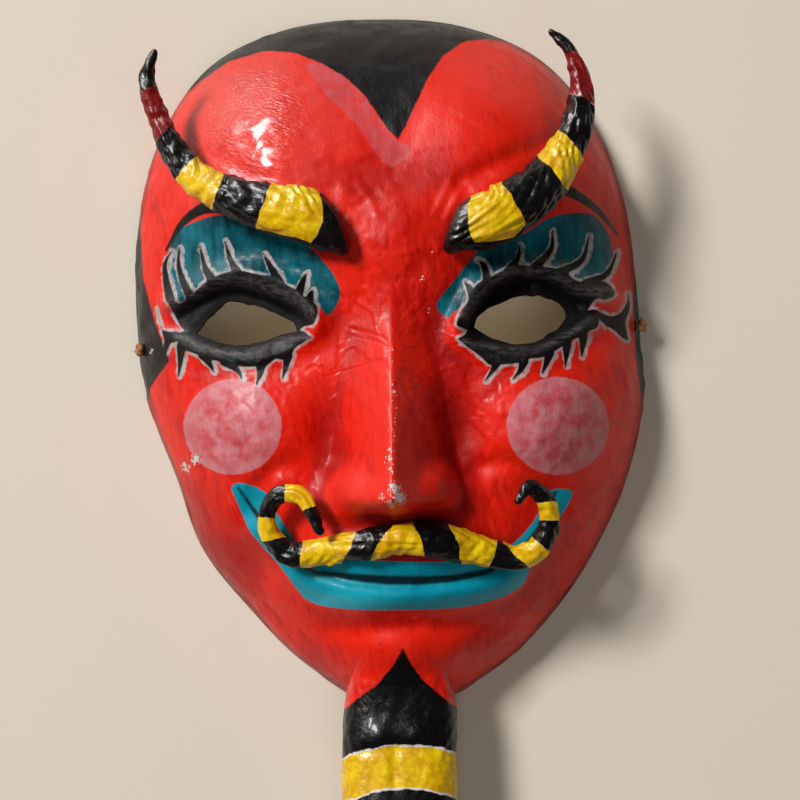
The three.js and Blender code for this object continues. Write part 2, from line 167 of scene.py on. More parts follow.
camera_data.angle = 2 * math.atan(half_picture / (camera_target - camera_place).length)
print("camera angle, degrees:", round(math.degrees(camera_data.angle), 2))

# %% [markdown]
# ## Smooth lines and new meshes
# Everything curved here runs along the same kind of line: a cubic that passes through a few chosen
# points. Small helpers sample such a line and put arrays of points and faces into a mesh.

# %% Smooth lines, meshes and noise
def smooth_line(points, per_span):
    """Cubic through the points, with a mirrored neighbour beyond each end."""
    points = np.asarray(points, dtype=float)
    padded = np.vstack([2 * points[0] - points[1], points, 2 * points[-1] - points[-2]])
    t = np.linspace(0, len(points) - 1, (len(points) - 1) * per_span + 1)
    index = np.minimum(t.astype(int), len(points) - 2)
    t = (t - index)[:, None]
    return cubic(*[padded[index + step] for step in range(4)], t)


def evenly(points, count):
    """The same line sampled at equal steps along its length, and the distance of each sample."""
    steps = np.linalg.norm(np.diff(points[:, :3], axis=0), axis=1)
    lengths = np.concatenate([[0], np.cumsum(steps)])
    wanted = np.linspace(0, lengths[-1], count)
    return np.stack([np.interp(wanted, lengths, column) for column in points.T], axis=1), wanted


def new_piece(name, points, faces):
    """A mesh object from points in millimetres round the face's middle, and arrays of faces with a
    row of corners for each face."""
    mesh = bpy.data.meshes.new(name)
    corners = [row for block in faces for row in block.tolist()]
    mesh.from_pydata(((points + FACE_MIDDLE) * MM).tolist(), [], corners)
    mesh.update()
    mesh.polygons.foreach_set("use_smooth", np.ones(len(mesh.polygons), dtype=bool))
    piece = bpy.data.objects.new(name, mesh)
    bpy.context.scene.collection.objects.link(piece)
    return piece


def set_attribute(piece, name, values):
    """One number for each vertex, which a material can read by name."""
    layer = piece.data.attributes.new(name, "FLOAT", "POINT")
    layer.data.foreach_set("value", np.asarray(values, dtype=np.float32))


def lattice_noise(places, cell, seed):
    """Smooth noise from -1 to 1: random numbers on a cubic lattice, blended by smooth steps."""
    size = 64
    numbers = np.random.default_rng(seed).uniform(-1, 1, (size, size, size))
    scaled = np.asarray(places) / cell
    corner = np.floor(scaled).astype(int)
    t = scaled - corner
    t = t * t * (3 - 2 * t)
    total = 0
    for dx in (0, 1):
        for dy in (0, 1):
            for dz in (0, 1):
                weight = (t[:, 0] if dx else 1 - t[:, 0]) * (t[:, 1] if dy else 1 - t[:, 1])
                weight = weight * (t[:, 2] if dz else 1 - t[:, 2])
                i, j, k = [(corner[:, axis] + step) % size for axis, step in enumerate((dx, dy, dz))]
                total = total + weight * numbers[i, j, k]
    return total


print("noise at two places:", lattice_noise([[1, 2, 3], [14, 5, 9]], 10, 0).round(2))


# %% Tubes
def angles_round(sides):
    """Even angles round a tube, in radians."""
    return np.arange(sides) / sides * math.tau


def outwards_from(across, up, angle):
    """Unit vectors that point out of a path: for each of its places, one at each angle round it."""
    cosine, sine = np.cos(angle)[None, :, None], np.sin(angle)[None, :, None]
    return across[:, None, :] * cosine + up[:, None, :] * sine


def tube_faces(rings, sides):
    """Four-sided faces between rings that follow each other, with their outsides out."""
    ring, side = np.meshgrid(np.arange(rings - 1), np.arange(sides), indexing="ij")
    here = ring * sides
    there = here + sides
    beside = (side + 1) % sides
    return np.stack([here + side, there + side, there + beside, here + beside], axis=-1).reshape(-1, 4)


def closed_tube(rings):
    """Points and faces of a tube of rings, closed by a fan at each end."""
    count, sides, _ = rings.shape
    points = np.vstack([rings.reshape(-1, 3), rings[0].mean(axis=0), rings[-1].mean(axis=0)])
    side = np.arange(sides)
    beside = (side + 1) % sides
    last = (count - 1) * sides
    start_fan = np.stack([np.full(sides, count * sides), side, beside], axis=1)
    end_fan = np.stack([np.full(sides, count * sides + 1), last + beside, last + side], axis=1)
    return points, [tube_faces(count, sides), start_fan, end_fan]


print("a tube of 3 rings of 8 points has", len(tube_faces(3, 8)), "faces along it")


# %% [markdown]
# ## Tie string
# Brown twine passes through a hole at each temple, with a knot outside to hold it. It is the only
# limp part, so its length is settled first: from one knot through its hole, down to the table inside
# the hollow, round behind the forehead and out to the other knot.

# %% Twine between the knots
CORD_DIAMETER = 2.5
CORD_ROUTE = [
    (-100.8, 3, 12), (-95, 3.2, 11.6), (-91, 5, 8.5), (-89, 10, 3.8), (-88.5, 17, 1.6), (-87.5, 28, 1.4),
    (-84, 43, 1.35), (-77, 60, 1.35), (-65, 78, 1.35), (-48, 94, 1.35), (-27, 105, 1.35), (0, 109, 1.35),
    (27, 106, 1.35), (49, 95, 1.35), (66, 79, 1.35), (78, 61, 1.35), (85, 44, 1.35), (89, 30, 1.4),
    (90.5, 20, 1.6), (91.5, 13, 3.8), (93.5, 8.5, 8.5), (97, 6.7, 11.6), (102.2, 6.4, 12),
]
# The twine turns once every TWINE_LAY. Between its plies it is thinner by PLY_DEPTH of its radius,
# so the crests of the plies stand a little past the stated diameter.
TWINE_PLIES = 3
TWINE_LAY = 9.0
PLY_DEPTH = 0.26
TWINE_CREST = 1.08
TWINE_SAMPLES, TWINE_SIDES = 420, 18


def frames_along(line):
    """Direction, sideways and upward unit vectors at each point of a line that stays near level."""
    ahead = np.gradient(line, axis=0)
    ahead /= np.linalg.norm(ahead, axis=1)[:, None]
    across = np.cross(ahead, [0, 0, 1])
    across /= np.maximum(np.linalg.norm(across, axis=1), 1e-9)[:, None]
    return ahead, across, np.cross(across, ahead)


def twisted_twine(line, distance):
    """Rings along the twine, whose radius swells over each ply and follows the plies round."""
    _, across, up = frames_along(line)
    angle = angles_round(TWINE_SIDES)
    turned = TWINE_PLIES / 2 * (angle[None, :] - math.tau * distance[:, None] / TWINE_LAY)
    crest = CORD_DIAMETER / 2 * TWINE_CREST
    swell = crest * (1 - PLY_DEPTH + PLY_DEPTH * np.abs(np.cos(turned)))
    return line[:, None, :] + outwards_from(across, up, angle) * swell[:, :, None]


twine_line, twine_distance = evenly(smooth_line(CORD_ROUTE, 12), TWINE_SAMPLES)
twine = new_piece("tie_twine", *closed_tube(twisted_twine(twine_line, twine_distance)))

# %% [markdown]
# The two knots are small overhand knots of the same twine. A trefoil is the closed form of that
# knot, so its line, drawn small and thick, gives the right bulges. A few loose fibres stand out.

# %% Knots and their fibres
TIE_HEIGHT = 12.0
KNOT_LEFT = (-104.5, 3.5)
KNOT_RIGHT = (107.0, 7.0)
KNOT_TWINE_RADIUS = 1.15
KNOT_SAMPLES, KNOT_SIDES = 150, 12
# Size of the knot's line, how far it bobs along the hole, how deep its plies are, and how far
# they turn from one ring to the next, in radians.
KNOT_SCALE = 0.62
KNOT_BOB = 1.1
KNOT_PLY_DEPTH = 0.15
KNOT_PLY_TURN = 0.12
FIBRE_COUNT, FIBRE_SIDES, FIBRE_SAMPLES = 9, 6, 8
FIBRE_RADIUS = 0.16
# Fibres start this far from the middle of the knot.
FIBRE_START = 1.6


def trefoil():
    """Three-lobed closed knot line: a circle walked twice while it bobs three times."""
    t = np.linspace(0, math.tau, KNOT_SAMPLES, endpoint=False)
    x = np.sin(t) + 2 * np.sin(2 * t)
    y = np.cos(t) - 2 * np.cos(2 * t)
    return np.stack([-np.sin(3 * t) * KNOT_BOB, x, y], axis=1) * KNOT_SCALE


def knot_rings():
    """Rings round the trefoil, which stand across it and swell over each ply."""
    line = trefoil()
    ahead = np.roll(line, -1, axis=0) - np.roll(line, 1, axis=0)
    ahead /= np.linalg.norm(ahead, axis=1)[:, None]
    across = np.cross(ahead, line)
    across /= np.linalg.norm(across, axis=1)[:, None]
    angle = angles_round(KNOT_SIDES)
    turned = angle[None, :] - np.arange(KNOT_SAMPLES)[:, None] * KNOT_PLY_TURN
    swell = KNOT_TWINE_RADIUS * (1 - KNOT_PLY_DEPTH + KNOT_PLY_DEPTH * np.cos(TWINE_PLIES * turned))
    return line[:, None, :] + outwards_from(across, np.cross(across, ahead), angle) * swell[:, :, None]


def loose_fibre(rng):
    """Thin tapering tube that starts in the knot and bends on its way out."""
    start = rng.normal(size=3)
    start *= FIBRE_START / np.linalg.norm(start)
    end = start * rng.uniform(1.5, 1.9) + rng.normal(size=3) * 0.4
    bend = (start + end) / 2 + rng.normal(size=3) * 0.25
    line, _ = evenly(smooth_line([start, bend, end], 6), FIBRE_SAMPLES)
    _, across, up = frames_along(line)
    radius = FIBRE_RADIUS * np.linspace(1, 0.4, FIBRE_SAMPLES)
    outward = outwards_from(across, up, angles_round(FIBRE_SIDES))
    return closed_tube(line[:, None, :] + outward * radius[:, None, None])


def knot(name, place, seed):
    """A knot with its fibres, at a place as seen."""
    points = knot_rings().reshape(-1, 3)
    faces = [tube_faces(KNOT_SAMPLES + 1, KNOT_SIDES) % len(points)]
    rng = np.random.default_rng(seed)
    for _ in range(FIBRE_COUNT):
        fibre_points, fibre_faces = loose_fibre(rng)
        faces += [block + len(points) for block in fibre_faces]
        points = np.vstack([points, fibre_points])
    return new_piece(name, points + standing(*place, TIE_HEIGHT), faces)


print("samples round a knot:", KNOT_SAMPLES, "and loose fibres:", FIBRE_COUNT)

# %% The string with its knots
knot_pieces = [knot("left_knot_twist", KNOT_LEFT, 3), knot("right_knot_twist", KNOT_RIGHT, 4)]
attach(twine, "root")
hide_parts("tie_cord")
for piece, node in zip(knot_pieces, ("knot_left", "knot_right")):
    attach(piece, "root")
    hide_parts(node)
print("knots:", [piece.name for piece in knot_pieces])

# %% [markdown]
# ## The shape of the face
# Papier-mache is pressed over a clay form, so the face is one skin: a dome, with broad swellings
# for forehead, cheeks and chin, a sharp tent of a nose and raised lines for lids and lips. The dome
# comes first. It is a boxy curve that stands square on the rim.

# %% Dome, swellings and nose
WALL = 4.0
DOME_HEIGHT = 60.0
DOME_SQUARENESS = 2.8
# Middle as seen, half-widths and rise, all in millimetres.
BROAD_FORMS = {
    "forehead left": (-46, 92, 36, 30, 13),
    "forehead right": (45, 93, 34, 28, 13),
    "brow": (2, 46, 27, 22, 9),
    "brow left": (-48, 62, 34, 11, 5),
    "brow right": (50, 60, 32, 11, 5),
    "socket left": (-60, 14, 31, 20, -9),
    "socket right": (57, 14, 30, 20, -9),
    "cheek left": (-64, -32, 27, 23, 9),
    "cheek right": (67, -33, 27, 23, 9),
    "hollow left of the nose": (-28, -34, 10, 20, -5),
    "hollow right of the nose": (30, -34, 10, 20, -5),
    "muzzle": (1, -88, 50, 22, 10),
    "crease under the lip": (3, -116, 34, 6, -3),
    "chin": (1, -130, 24, 15, 10),
}
NOSE_WINGS = [(-20, -57, 9, 9, 9), (21, -57, 9, 9, 9)]
NOSE_ROOT_Q, NOSE_TIP_Q, NOSE_LIP_Q = 30, -62, -74
NOSE_ROOT_P, NOSE_TIP_P = 2, -0.5
NOSE_ROOT_HALF, NOSE_TIP_HALF, NOSE_RISE = 12, 29, 41
# Power of the rise towards the tip, radius of the ridge and power of the flanks' hollow curve.
NOSE_GROWTH, NOSE_RIDGE_ROUND, NOSE_FLANK_CURVE = 1.2, 1.5, 1.3
# Inside, for each millimetre of wall, the nose is lower and its tip further up by this much.
NOSE_INSIDE_LOWER, NOSE_INSIDE_SHORTER = 2.5, 1.8


def smooth_step(value, low, high):
    """0 below low, 1 above high and an S between them."""
    t = np.clip((value - low) / (high - low), 0, 1)
    return t * t * (3 - 2 * t)


def bell(p, q, middle_p, middle_q, half_p, half_q, rise):
    """Swelling with a bell-shaped section both ways."""
    return rise * np.exp(-((p - middle_p) / half_p) ** 2 - ((q - middle_q) / half_q) ** 2)


def nose(p, q, inset):
    """Tent over the ridge line: straight flanks, a slightly rounded ridge, growing to the tip."""
    grown = np.clip((NOSE_ROOT_Q - q) / (NOSE_ROOT_Q - NOSE_TIP_Q), 0, 1)
    ridge_p = NOSE_ROOT_P + (NOSE_TIP_P - NOSE_ROOT_P) * grown
    half = NOSE_ROOT_HALF + (NOSE_TIP_HALF - NOSE_ROOT_HALF) * grown - inset
    rise = (NOSE_RISE - NOSE_INSIDE_LOWER * inset) * grown ** NOSE_GROWTH
    ridge_round = NOSE_RIDGE_ROUND + inset
    off = np.hypot(p - ridge_p, ridge_round) - ridge_round
    return rise * np.maximum(0, 1 - off / half) ** NOSE_FLANK_CURVE


def nose_drop(q, inset):
    """1 above the tip of the nose and 0 at the lip."""
    back = NOSE_INSIDE_SHORTER * inset
    return smooth_step(q, NOSE_LIP_Q + back, NOSE_TIP_Q + back)


def fullness(share):
    """Height of the dome's section over the share of the way to the rim: a rounded square."""
    return np.sqrt(np.maximum(0, 1 - np.minimum(share, 1) ** DOME_SQUARENESS))


print("height of the dome half way to the rim, mm:", round(DOME_HEIGHT * float(fullness(0.5)), 1))

# %% Raised lines: lids, lower lip and the groove of the mouth
# Points as seen, half-width and rise of each.
LID_HALF, LID_RISE, LOW_LID_RISE = 4.5, 6, 4
LID_LINE_LEFT = [(-92, 23), (-76, 32), (-62, 35), (-50, 32), (-40, 27), (-31, 18), (-30, 13)]
LID_LINE_RIGHT = [(30, 12), (37, 25), (50, 33), (64, 34), (79, 27), (86, 22), (96, 21)]
LIP_LINE = [(-58, -74), (-42, -94), (-16, -103), (22, -104), (48, -97), (65, -74)]
RAISED_LINES = {
    "upper lid left": (LID_LINE_LEFT, LID_HALF, LID_RISE),
    "lower lid left": ([(-96, 10), (-80, 2), (-60, -1), (-44, 2), (-31, 8)], LID_HALF, LOW_LID_RISE),
    "upper lid right": (LID_LINE_RIGHT, LID_HALF, LID_RISE),
    "lower lid right": ([(28, 5), (42, -4), (54, -5), (72, 0), (86, 9)], LID_HALF, LOW_LID_RISE),
    "lower lip": (LIP_LINE, 6, 4),
    "mouth": ([(-42, -85), (-22, -94.5), (0, -98), (24, -97), (46, -91)], 3, -2.5),
}


# Distances start from this, which is further than any edge here.
FAR = 1e3


def line_distance(p, q, line, widths=None):
    """Distance from each place to the nearest piece of a line, less the line's own half-width."""
    nearest = np.full(np.shape(p), FAR)
    widths = np.zeros(len(line)) if widths is None else widths
    for (ap, aq), (bp, bq), wide_a, wide_b in zip(line[:-1], line[1:], widths[:-1], widths[1:]):
        along = ((p - ap) * (bp - ap) + (q - aq) * (bq - aq)) / ((bp - ap) ** 2 + (bq - aq) ** 2)
        t = np.clip(along, 0, 1)
        distance = np.hypot(p - ap - t * (bp - ap), q - aq - t * (bq - aq))
        nearest = np.minimum(nearest, distance - wide_a - t * (wide_b - wide_a))
    return nearest


def ridge(p, q, line, half, rise):
    """Ridge along a line with a bell-shaped section, or a groove where the rise is negative."""
    return rise * np.exp(-(line_distance(p, q, line) / half) ** 2)


raised_lines = [(smooth_line(points, 8), half, rise) for points, half, rise in RAISED_LINES.values()]


def face_height(p, q, inset=0.0):
    """Height of the smooth face over each place as seen: the dome, plus all relief, which fades
    out where the dome turns down to the rim. The inside has no lids or lips."""
    full = fullness(rim_share(p, q, inset))
    relief = nose(p, q, inset) * nose_drop(q, inset)
    for form in BROAD_FORMS.values():
        relief = relief + bell(p, q, *form)
    if inset == 0:
        for wing in NOSE_WINGS:
            relief = relief + bell(p, q, *wing) * nose_drop(q, inset)
        for raised_line in raised_lines:
            relief = relief + ridge(p, q, *raised_line)
    return (DOME_HEIGHT - inset) * full + relief * (1 - (1 - full) ** 3)


print("nose tip height, mm:", face_height(np.array([NOSE_TIP_P]), np.array([-60.0])).round(1))

# %% [markdown]
# ## Paper relief
# The real skin is torn strips of newspaper, pasted over each other. Each strip leaves a step as
# thin as card along its ragged edge, and wet paper puckers into fine creases. Strips are added as
# low plates in seeded random places, and creases as narrow ridges, before the skin is meshed.

# %% Strips of newspaper
STRIP_COUNT, STRIP_STEP, STRIP_SEED = 150, 0.28, 11
STRIP_FIELD = 150


def strip_steps(p, q, seed, count=STRIP_COUNT, step=STRIP_STEP):
    """Sum of low plates, each a turned rectangle of paper whose edge wanders with a slow wave, and
    the tone of the strip that lies on top."""
    rng = np.random.default_rng(seed)
    total = np.zeros_like(p)
    tone = np.zeros_like(p)
    for _ in range(count):
        radius = STRIP_FIELD * math.sqrt(rng.uniform())
        angle = rng.uniform(0, math.tau)
        turned = rng.uniform(0, math.pi)
        half_long, half_wide = rng.uniform(16, 34), rng.uniform(8, 15)
        phase = rng.uniform(0, math.tau, 2)
        shade = rng.uniform(-1, 1)
        dp, dq = p - radius * math.cos(angle), q - radius * math.sin(angle)
        along = dp * math.cos(turned) + dq * math.sin(turned)
        across = -dp * math.sin(turned) + dq * math.cos(turned)
        ragged = 0.9 * np.sin(along * 0.55 + phase[0]) + 0.6 * np.sin(along * 1.3 + phase[1])
        inside = np.minimum(half_long - np.abs(along) + ragged, half_wide - np.abs(across) + ragged)
        plate = smooth_step(inside, -0.7, 0.7)
        total += plate * step
        tone = tone * (1 - plate) + shade * plate
    return total, tone


print("strips on the outside:", STRIP_COUNT)

# %% Creases, folds and crests
# Points as seen, half-width and rise of each crease and fold.
FOREHEAD_CREASES = [
    ([(74, 88), (60, 82), (49, 77.5), (40, 73), (33, 70)], 4.0, -3.2),
    ([(36, 71), (31, 64), (26, 55)], 1.4, 0.8),
    ([(30, 73), (25, 64), (21, 57)], 1.3, 0.7),
    ([(-10, 70), (-6, 64), (-3, 57)], 1.4, 0.5),
    ([(-20, 56), (-10, 62), (-4, 67)], 1.2, -0.5),
    ([(-72, 86), (-56, 76), (-38, 71), (-22, 68)], 3.0, -1.4),
]
FACE_FOLDS = [
    ([(-33, -50), (-41, -46), (-50, -49), (-57, -56), (-61, -66)], 4.0, -2.6),
    ([(35, -52), (44, -49), (54, -51), (63, -58), (70, -68)], 4.0, -2.6),
    ([(-24, -44), (-27, -54), (-25, -64)], 3.0, -1.8),
    ([(26, -44), (29, -54), (27, -64)], 3.0, -1.8),
]
# The lids are rolls of paper: a crest, and a dip under it down to the hole.
LID_CREST_LEFT = [
    (-91, 22.5), (-84, 24.5), (-79, 27), (-74, 29.5), (-67.5, 31.2), (-61, 31), (-54.5, 29.5), (-48, 27),
    (-41.5, 24), (-36, 20.5), (-32.5, 17),
]
LID_CREST_RIGHT = [
    (32, 13), (34.5, 17), (38.5, 22.5), (44, 27.5), (50.5, 30.5), (56.5, 31.5), (64, 30.7), (71, 28.5),
    (77, 25), (82.5, 22.5), (89, 21.5), (94.5, 21.5),
]
LOW_LID_CREST_LEFT = [
    (-89, 9), (-84, 8), (-77.5, 4), (-71, 2.5), (-64, 1.5), (-58, 1.8), (-52.5, 3), (-46.5, 5.3),
    (-40.5, 6.5), (-34, 6),
]
LOW_LID_CREST_RIGHT = [
    (30, 4), (34, 2), (42, 0.4), (48, -1.2), (54, -1.8), (60.5, -1.6), (66.5, 0), (73, 3),
    (79, 6), (85, 10),
]
LID_FORMS = [
    (LID_CREST_LEFT, 2.6, 1.9), (LID_CREST_RIGHT, 2.6, 1.9),
    (LOW_LID_CREST_LEFT, 1.9, 1.1), (LOW_LID_CREST_RIGHT, 1.9, 1.1),
    ([(-84, 18), (-77, 22), (-68, 25), (-60, 25), (-50, 21.5), (-41, 16.5)], 2.6, -2.0),
    ([(38, 15.5), (45, 21), (54, 24.5), (63, 25.5), (72, 22.5), (80, 16.5)], 2.6, -2.0),
    ([(-93, 21.5), (-88, 23)], 2.2, 1.4), ([(89, 21.5), (95, 22)], 2.4, 1.6),
]
CHIN_SIDES = [(-24, -135, 8, 12, 5), (24, -135, 8, 12, 5)]
print("creases and folds:", len(FOREHEAD_CREASES + FACE_FOLDS))

# %% Puckers, ripples and the whole relief
# Rise and width of the soft puckers, and rise, width and patches of the sharp crumples.
BROAD_PUCKER_RISE, BROAD_PUCKER = 0.34, 11
FINE_PUCKER_RISE, FINE_PUCKER = 0.2, 5.5
CRUMPLE_RISE, CRUMPLE, CRUMPLE_PATCH = 0.26, 7.5, 34
# The relief is sunk by about its mean, so that the skin stays where the packed model has it.
RELIEF_SUNK = 0.9
# Rippled varnish: middle as seen, half-widths and rise of its patch, then the ripples themselves.
RIPPLED = (-52, 99, 22, 20, 0.26)
RIPPLE_TURN = math.radians(30)
RIPPLE_WIDTH, RIPPLE_STRETCH, RIPPLE_SEED = 2.5, 2.8, 12


def varnish_ripples(p, q):
    """Thick varnish dried in ripples round the left swelling of the forehead: noise that is
    nearly three times longer along the swelling than across it, inside a bell."""
    outwards = q * math.cos(RIPPLE_TURN) - p * math.sin(RIPPLE_TURN)
    along = p * math.cos(RIPPLE_TURN) + q * math.sin(RIPPLE_TURN)
    places = np.stack([outwards, along / RIPPLE_STRETCH, 0 * p], axis=1)
    return bell(p, q, *RIPPLED) * lattice_noise(places, RIPPLE_WIDTH, RIPPLE_SEED)


def paper_relief(p, q, points):
    """Height of strips, puckers, ripples and creases over each place."""
    strips, _ = strip_steps(p, q, STRIP_SEED)
    pucker = BROAD_PUCKER_RISE * lattice_noise(points, BROAD_PUCKER, 1)
    pucker += FINE_PUCKER_RISE * lattice_noise(points, FINE_PUCKER, 2)
    sharp = 1 - 2 * np.abs(lattice_noise(points, CRUMPLE, 5))
    crumple = CRUMPLE_RISE * sharp * smooth_step(lattice_noise(points, CRUMPLE_PATCH, 6), -0.2, 0.6)
    relief = strips + pucker + crumple + varnish_ripples(p, q)
    for line, half, rise in FOREHEAD_CREASES + FACE_FOLDS + LID_FORMS:
        relief = relief + ridge(p, q, smooth_line(line, 6), half, rise)
    for side in CHIN_SIDES:
        relief = relief + bell(p, q, *side)
    return relief - RELIEF_SUNK


print("the relief is sunk by, mm:", RELIEF_SUNK)

# %% [markdown]
# ## The shell
# Spokes and rings from the middle to the rim give each skin. Rings are spaced by the length of the
# dome's section, so the steep sides get as many as the front. The outer skin, the inner skin and
# the flat rim make one closed mesh, and the holes are then cut right through it.

# %% Rings, spokes and faces of the shell
OUTSIDE_SPOKES, OUTSIDE_RINGS = 432, 168
INSIDE_SPOKES, INSIDE_RINGS = OUTSIDE_SPOKES // 2, 66


def ring_places(count):
    """Places from the middle to the rim that divide the dome's section into equal lengths."""
    turn = np.linspace(0, math.pi / 2, 4000)
    place = np.sin(turn) ** (2 / DOME_SQUARENESS)
    height = DOME_HEIGHT * np.cos(turn)
    steps = np.hypot(np.diff(place) * 2 * DOME_HEIGHT, np.diff(height))
    lengths = np.concatenate([[0], np.cumsum(steps)])
    return np.interp(np.arange(1, count + 1) / count * lengths[-1], lengths, place)


def skin_places(spokes, rings, inset):
    """Places as seen of one skin, ring by ring, with the middle first."""
    angle = spoke_angles(spokes)
    reach = (rim_radius(angle) - inset)[None, :] * ring_places(rings)[:, None]
    p = np.concatenate([[0], (reach * np.cos(angle)).ravel()])
    q = np.concatenate([[0], (reach * np.sin(angle)).ravel()])
    return p, q


def skin_faces(spokes, rings, first):
    """Fan round the middle and four-sided faces between rings."""
    side = np.arange(spokes)
    beside = (side + 1) % spokes
    fan = np.stack([np.full(spokes, first), first + 1 + side, first + 1 + beside], axis=1)
    here = np.arange(rings - 1)[:, None] * spokes + first + 1
    there = here + spokes
    quads = np.stack([here + side, there + side, there + beside, here + beside], axis=-1)
    return [fan, quads.reshape(-1, 4)]


def rim_faces(outer_rim, inner_rim):
    """Flat rim: three triangles for each inner spoke, because the outer skin has two for its one."""
    spoke = np.arange(INSIDE_SPOKES)
    beside = (spoke + 1) % INSIDE_SPOKES
    here, beyond = inner_rim + spoke, inner_rim + beside
    first, last = outer_rim + 2 * spoke, outer_rim + 2 * beside
    middle = first + 1
    corners = [first, here, middle, middle, here, beyond, middle, beyond, last]
    return np.stack(corners, axis=1).reshape(-1, 3)


print("rings on the outside and inside:", OUTSIDE_RINGS, INSIDE_RINGS)

# %% Outer and inner skin
# The steep sides are lumpy: rise, width and seed of two sizes of lumps.
SIDE_LUMPS = ((0.9, 13, 9), (0.5, 6, 10))
# Inside, the strips are pressed smoother.
INSIDE_STRIPS, INSIDE_STRIP_STEP, INSIDE_STRIP_SEED = 170, 0.2, 23


def skin_parts(p, q):
    """Smooth height, paper relief, share of the way to the rim, and how full the dome is there."""
    smooth = face_height(p, q)
    share = rim_share(p, q)
    return smooth, paper_relief(p, q, standing(p, q, smooth)), share, fullness(share)


def skin_height(p, q):
    """Height of the outer skin with its paper relief, which fades on the steep sides."""
    smooth, relief, _, full = skin_parts(p, q)
    return smooth + relief * full


def outer_skin():
    """The outer skin. On the steep sides the relief pushes outwards instead of up, and it is gone
    at the cut rim."""
    p, q = skin_places(OUTSIDE_SPOKES, OUTSIDE_RINGS, 0)
    smooth, relief, share, full = skin_parts(p, q)
    ahead = np.stack([p, q], axis=1) / np.maximum(np.hypot(p, q), 1e-6)[:, None]
    moved = standing(p, q, smooth + relief * full * smooth_step(1 - share, 0, 0.01))
    lumps = sum(rise * lattice_noise(moved, width, seed) for rise, width, seed in SIDE_LUMPS)
    outwards = (0.6 * np.clip(relief, -1.5, 1.5) + lumps) * (1 - full) * smooth_step(1 - share, 0, 0.002)
    moved[:, :2] += ahead * outwards[:, None]
    return moved


def inner_skin():
    """The inner skin: the smooth face less the wall, with strips and slow puckers of its own."""
    p, q = skin_places(INSIDE_SPOKES, INSIDE_RINGS, WALL)
    smooth = face_height(p, q, WALL)
    strips, _ = strip_steps(p, q, INSIDE_STRIP_SEED, INSIDE_STRIPS, INSIDE_STRIP_STEP)
    relief = strips - RELIEF_SUNK + 0.3 * lattice_noise(standing(p, q, smooth), 9, 8)
    return standing(p, q, smooth + relief * fullness(rim_share(p, q, WALL)))


outside = outer_skin()
inside = inner_skin()
outer_faces = skin_faces(OUTSIDE_SPOKES, OUTSIDE_RINGS, 0)
inner_faces = [block[:, ::-1] for block in skin_faces(INSIDE_SPOKES, INSIDE_RINGS, len(outside))]
edge_faces = rim_faces(len(outside) - OUTSIDE_SPOKES, len(outside) + len(inside) - INSIDE_SPOKES)
shell = new_piece("painted_shell", np.vstack([outside, inside]), [*outer_faces, *inner_faces, edge_faces])
print("shell faces:", len(shell.data.polygons))

# %% Outlines of the eye holes
EYE_LEFT = [
    (-81.5, 10), (-79.5, 12.5), (-76.5, 16), (-72.5, 19.5), (-69, 22.5), (-66.5, 23.5), (-63, 23),
    (-57.5, 21.5), (-53, 20), (-48, 18), (-44, 15.5), (-40.5, 13.5), (-38.5, 10.5), (-38.5, 9),
    (-41.5, 8.5), (-45.5, 8), (-51, 6), (-55, 5), (-59.5, 4.5), (-64, 4.5), (-69.5, 5.5), (-74.5, 7),
    (-79, 9),
]
EYE_RIGHT = [
    (36, 8.5), (38, 13), (42.5, 16.5), (48.5, 19), (55, 21), (63, 21.7), (67, 21), (71.5, 19.5),
    (74.5, 17), (76, 13.5), (75, 10), (72.5, 7.5), (68.5, 5.5), (65, 3), (60.5, 1.5), (55.5, 1),
    (52, 1), (47, 2.5), (42, 4.5), (38, 6.3),
]
# How far the knife wandered, and over what length.
KNIFE_WANDER, KNIFE_WAVE = 0.35, 3.1


def rounded(outline, per_span=4):
    """The same outline with its corners eased."""
    points = np.asarray(outline, dtype=float)
    wrapped = np.vstack([points[-2:], points, points[:2]])
    return [tuple(point) for point in smooth_line(wrapped, per_span)[2 * per_span:-3 * per_span]]


def hand_cut(outline, seed):
    """An outline cut with a knife through dry paper: it wanders by a third of a millimetre."""
    places = np.column_stack([outline, np.zeros(len(outline))])
    wander = np.stack([lattice_noise(places, KNIFE_WAVE, seed + axis) for axis in (0, 1)], axis=1)
    return outline + KNIFE_WANDER * wander


eye_left = hand_cut(np.array(rounded(EYE_LEFT, 6)), 31)
eye_right = hand_cut(np.array(rounded(EYE_RIGHT, 6)), 41)
print("eye holes are wide, mm:", np.ptp(eye_left[:, 0]).round(1), np.ptp(eye_right[:, 0]).round(1))

# %% Cut the eye holes and the tie holes
# The height at which the eye holes have their outlines, and the ends of their cutters.
EYE_HOLE_Z, EYE_CUTTER_LOW, EYE_CUTTER_HIGH = 52.0, 20.0, 90.0
TIE_HOLE_RADIUS, TIE_HOLE_SIDES, TIE_CUTTER_HALF = 2.0, 24, 12


def prism(name, bottom, top):
    """Closed block between two outlines that run clockwise round the way from bottom to top."""
    return new_piece(name, *closed_tube(np.stack([bottom, top])))


def cut(piece, cutters):
    """Boolean difference with each cutter, put into the mesh."""
    for cutter in cutters:
        modifier = piece.modifiers.new(cutter.name, "BOOLEAN")
        modifier.operation = "DIFFERENCE"
        modifier.solver = "EXACT"
        modifier.object = cutter
    bpy.context.view_layer.update()
    finished = bpy.data.meshes.new_from_object(piece.evaluated_get(bpy.context.evaluated_depsgraph_get()))
    piece.modifiers.clear()
    piece.data = finished
    for cutter in cutters:
        bpy.data.objects.remove(cutter)


def tie_hole(name, place):
    """Round pin along X through the side wall, at the knot."""
    t = angles_round(TIE_HOLE_SIDES)
    ring = TIE_HOLE_RADIUS * np.stack([0 * t, np.cos(t), -np.sin(t)], axis=1) + standing(*place, TIE_HEIGHT)
    return prism(name, ring - [TIE_CUTTER_HALF, 0, 0], ring + [TIE_CUTTER_HALF, 0, 0])


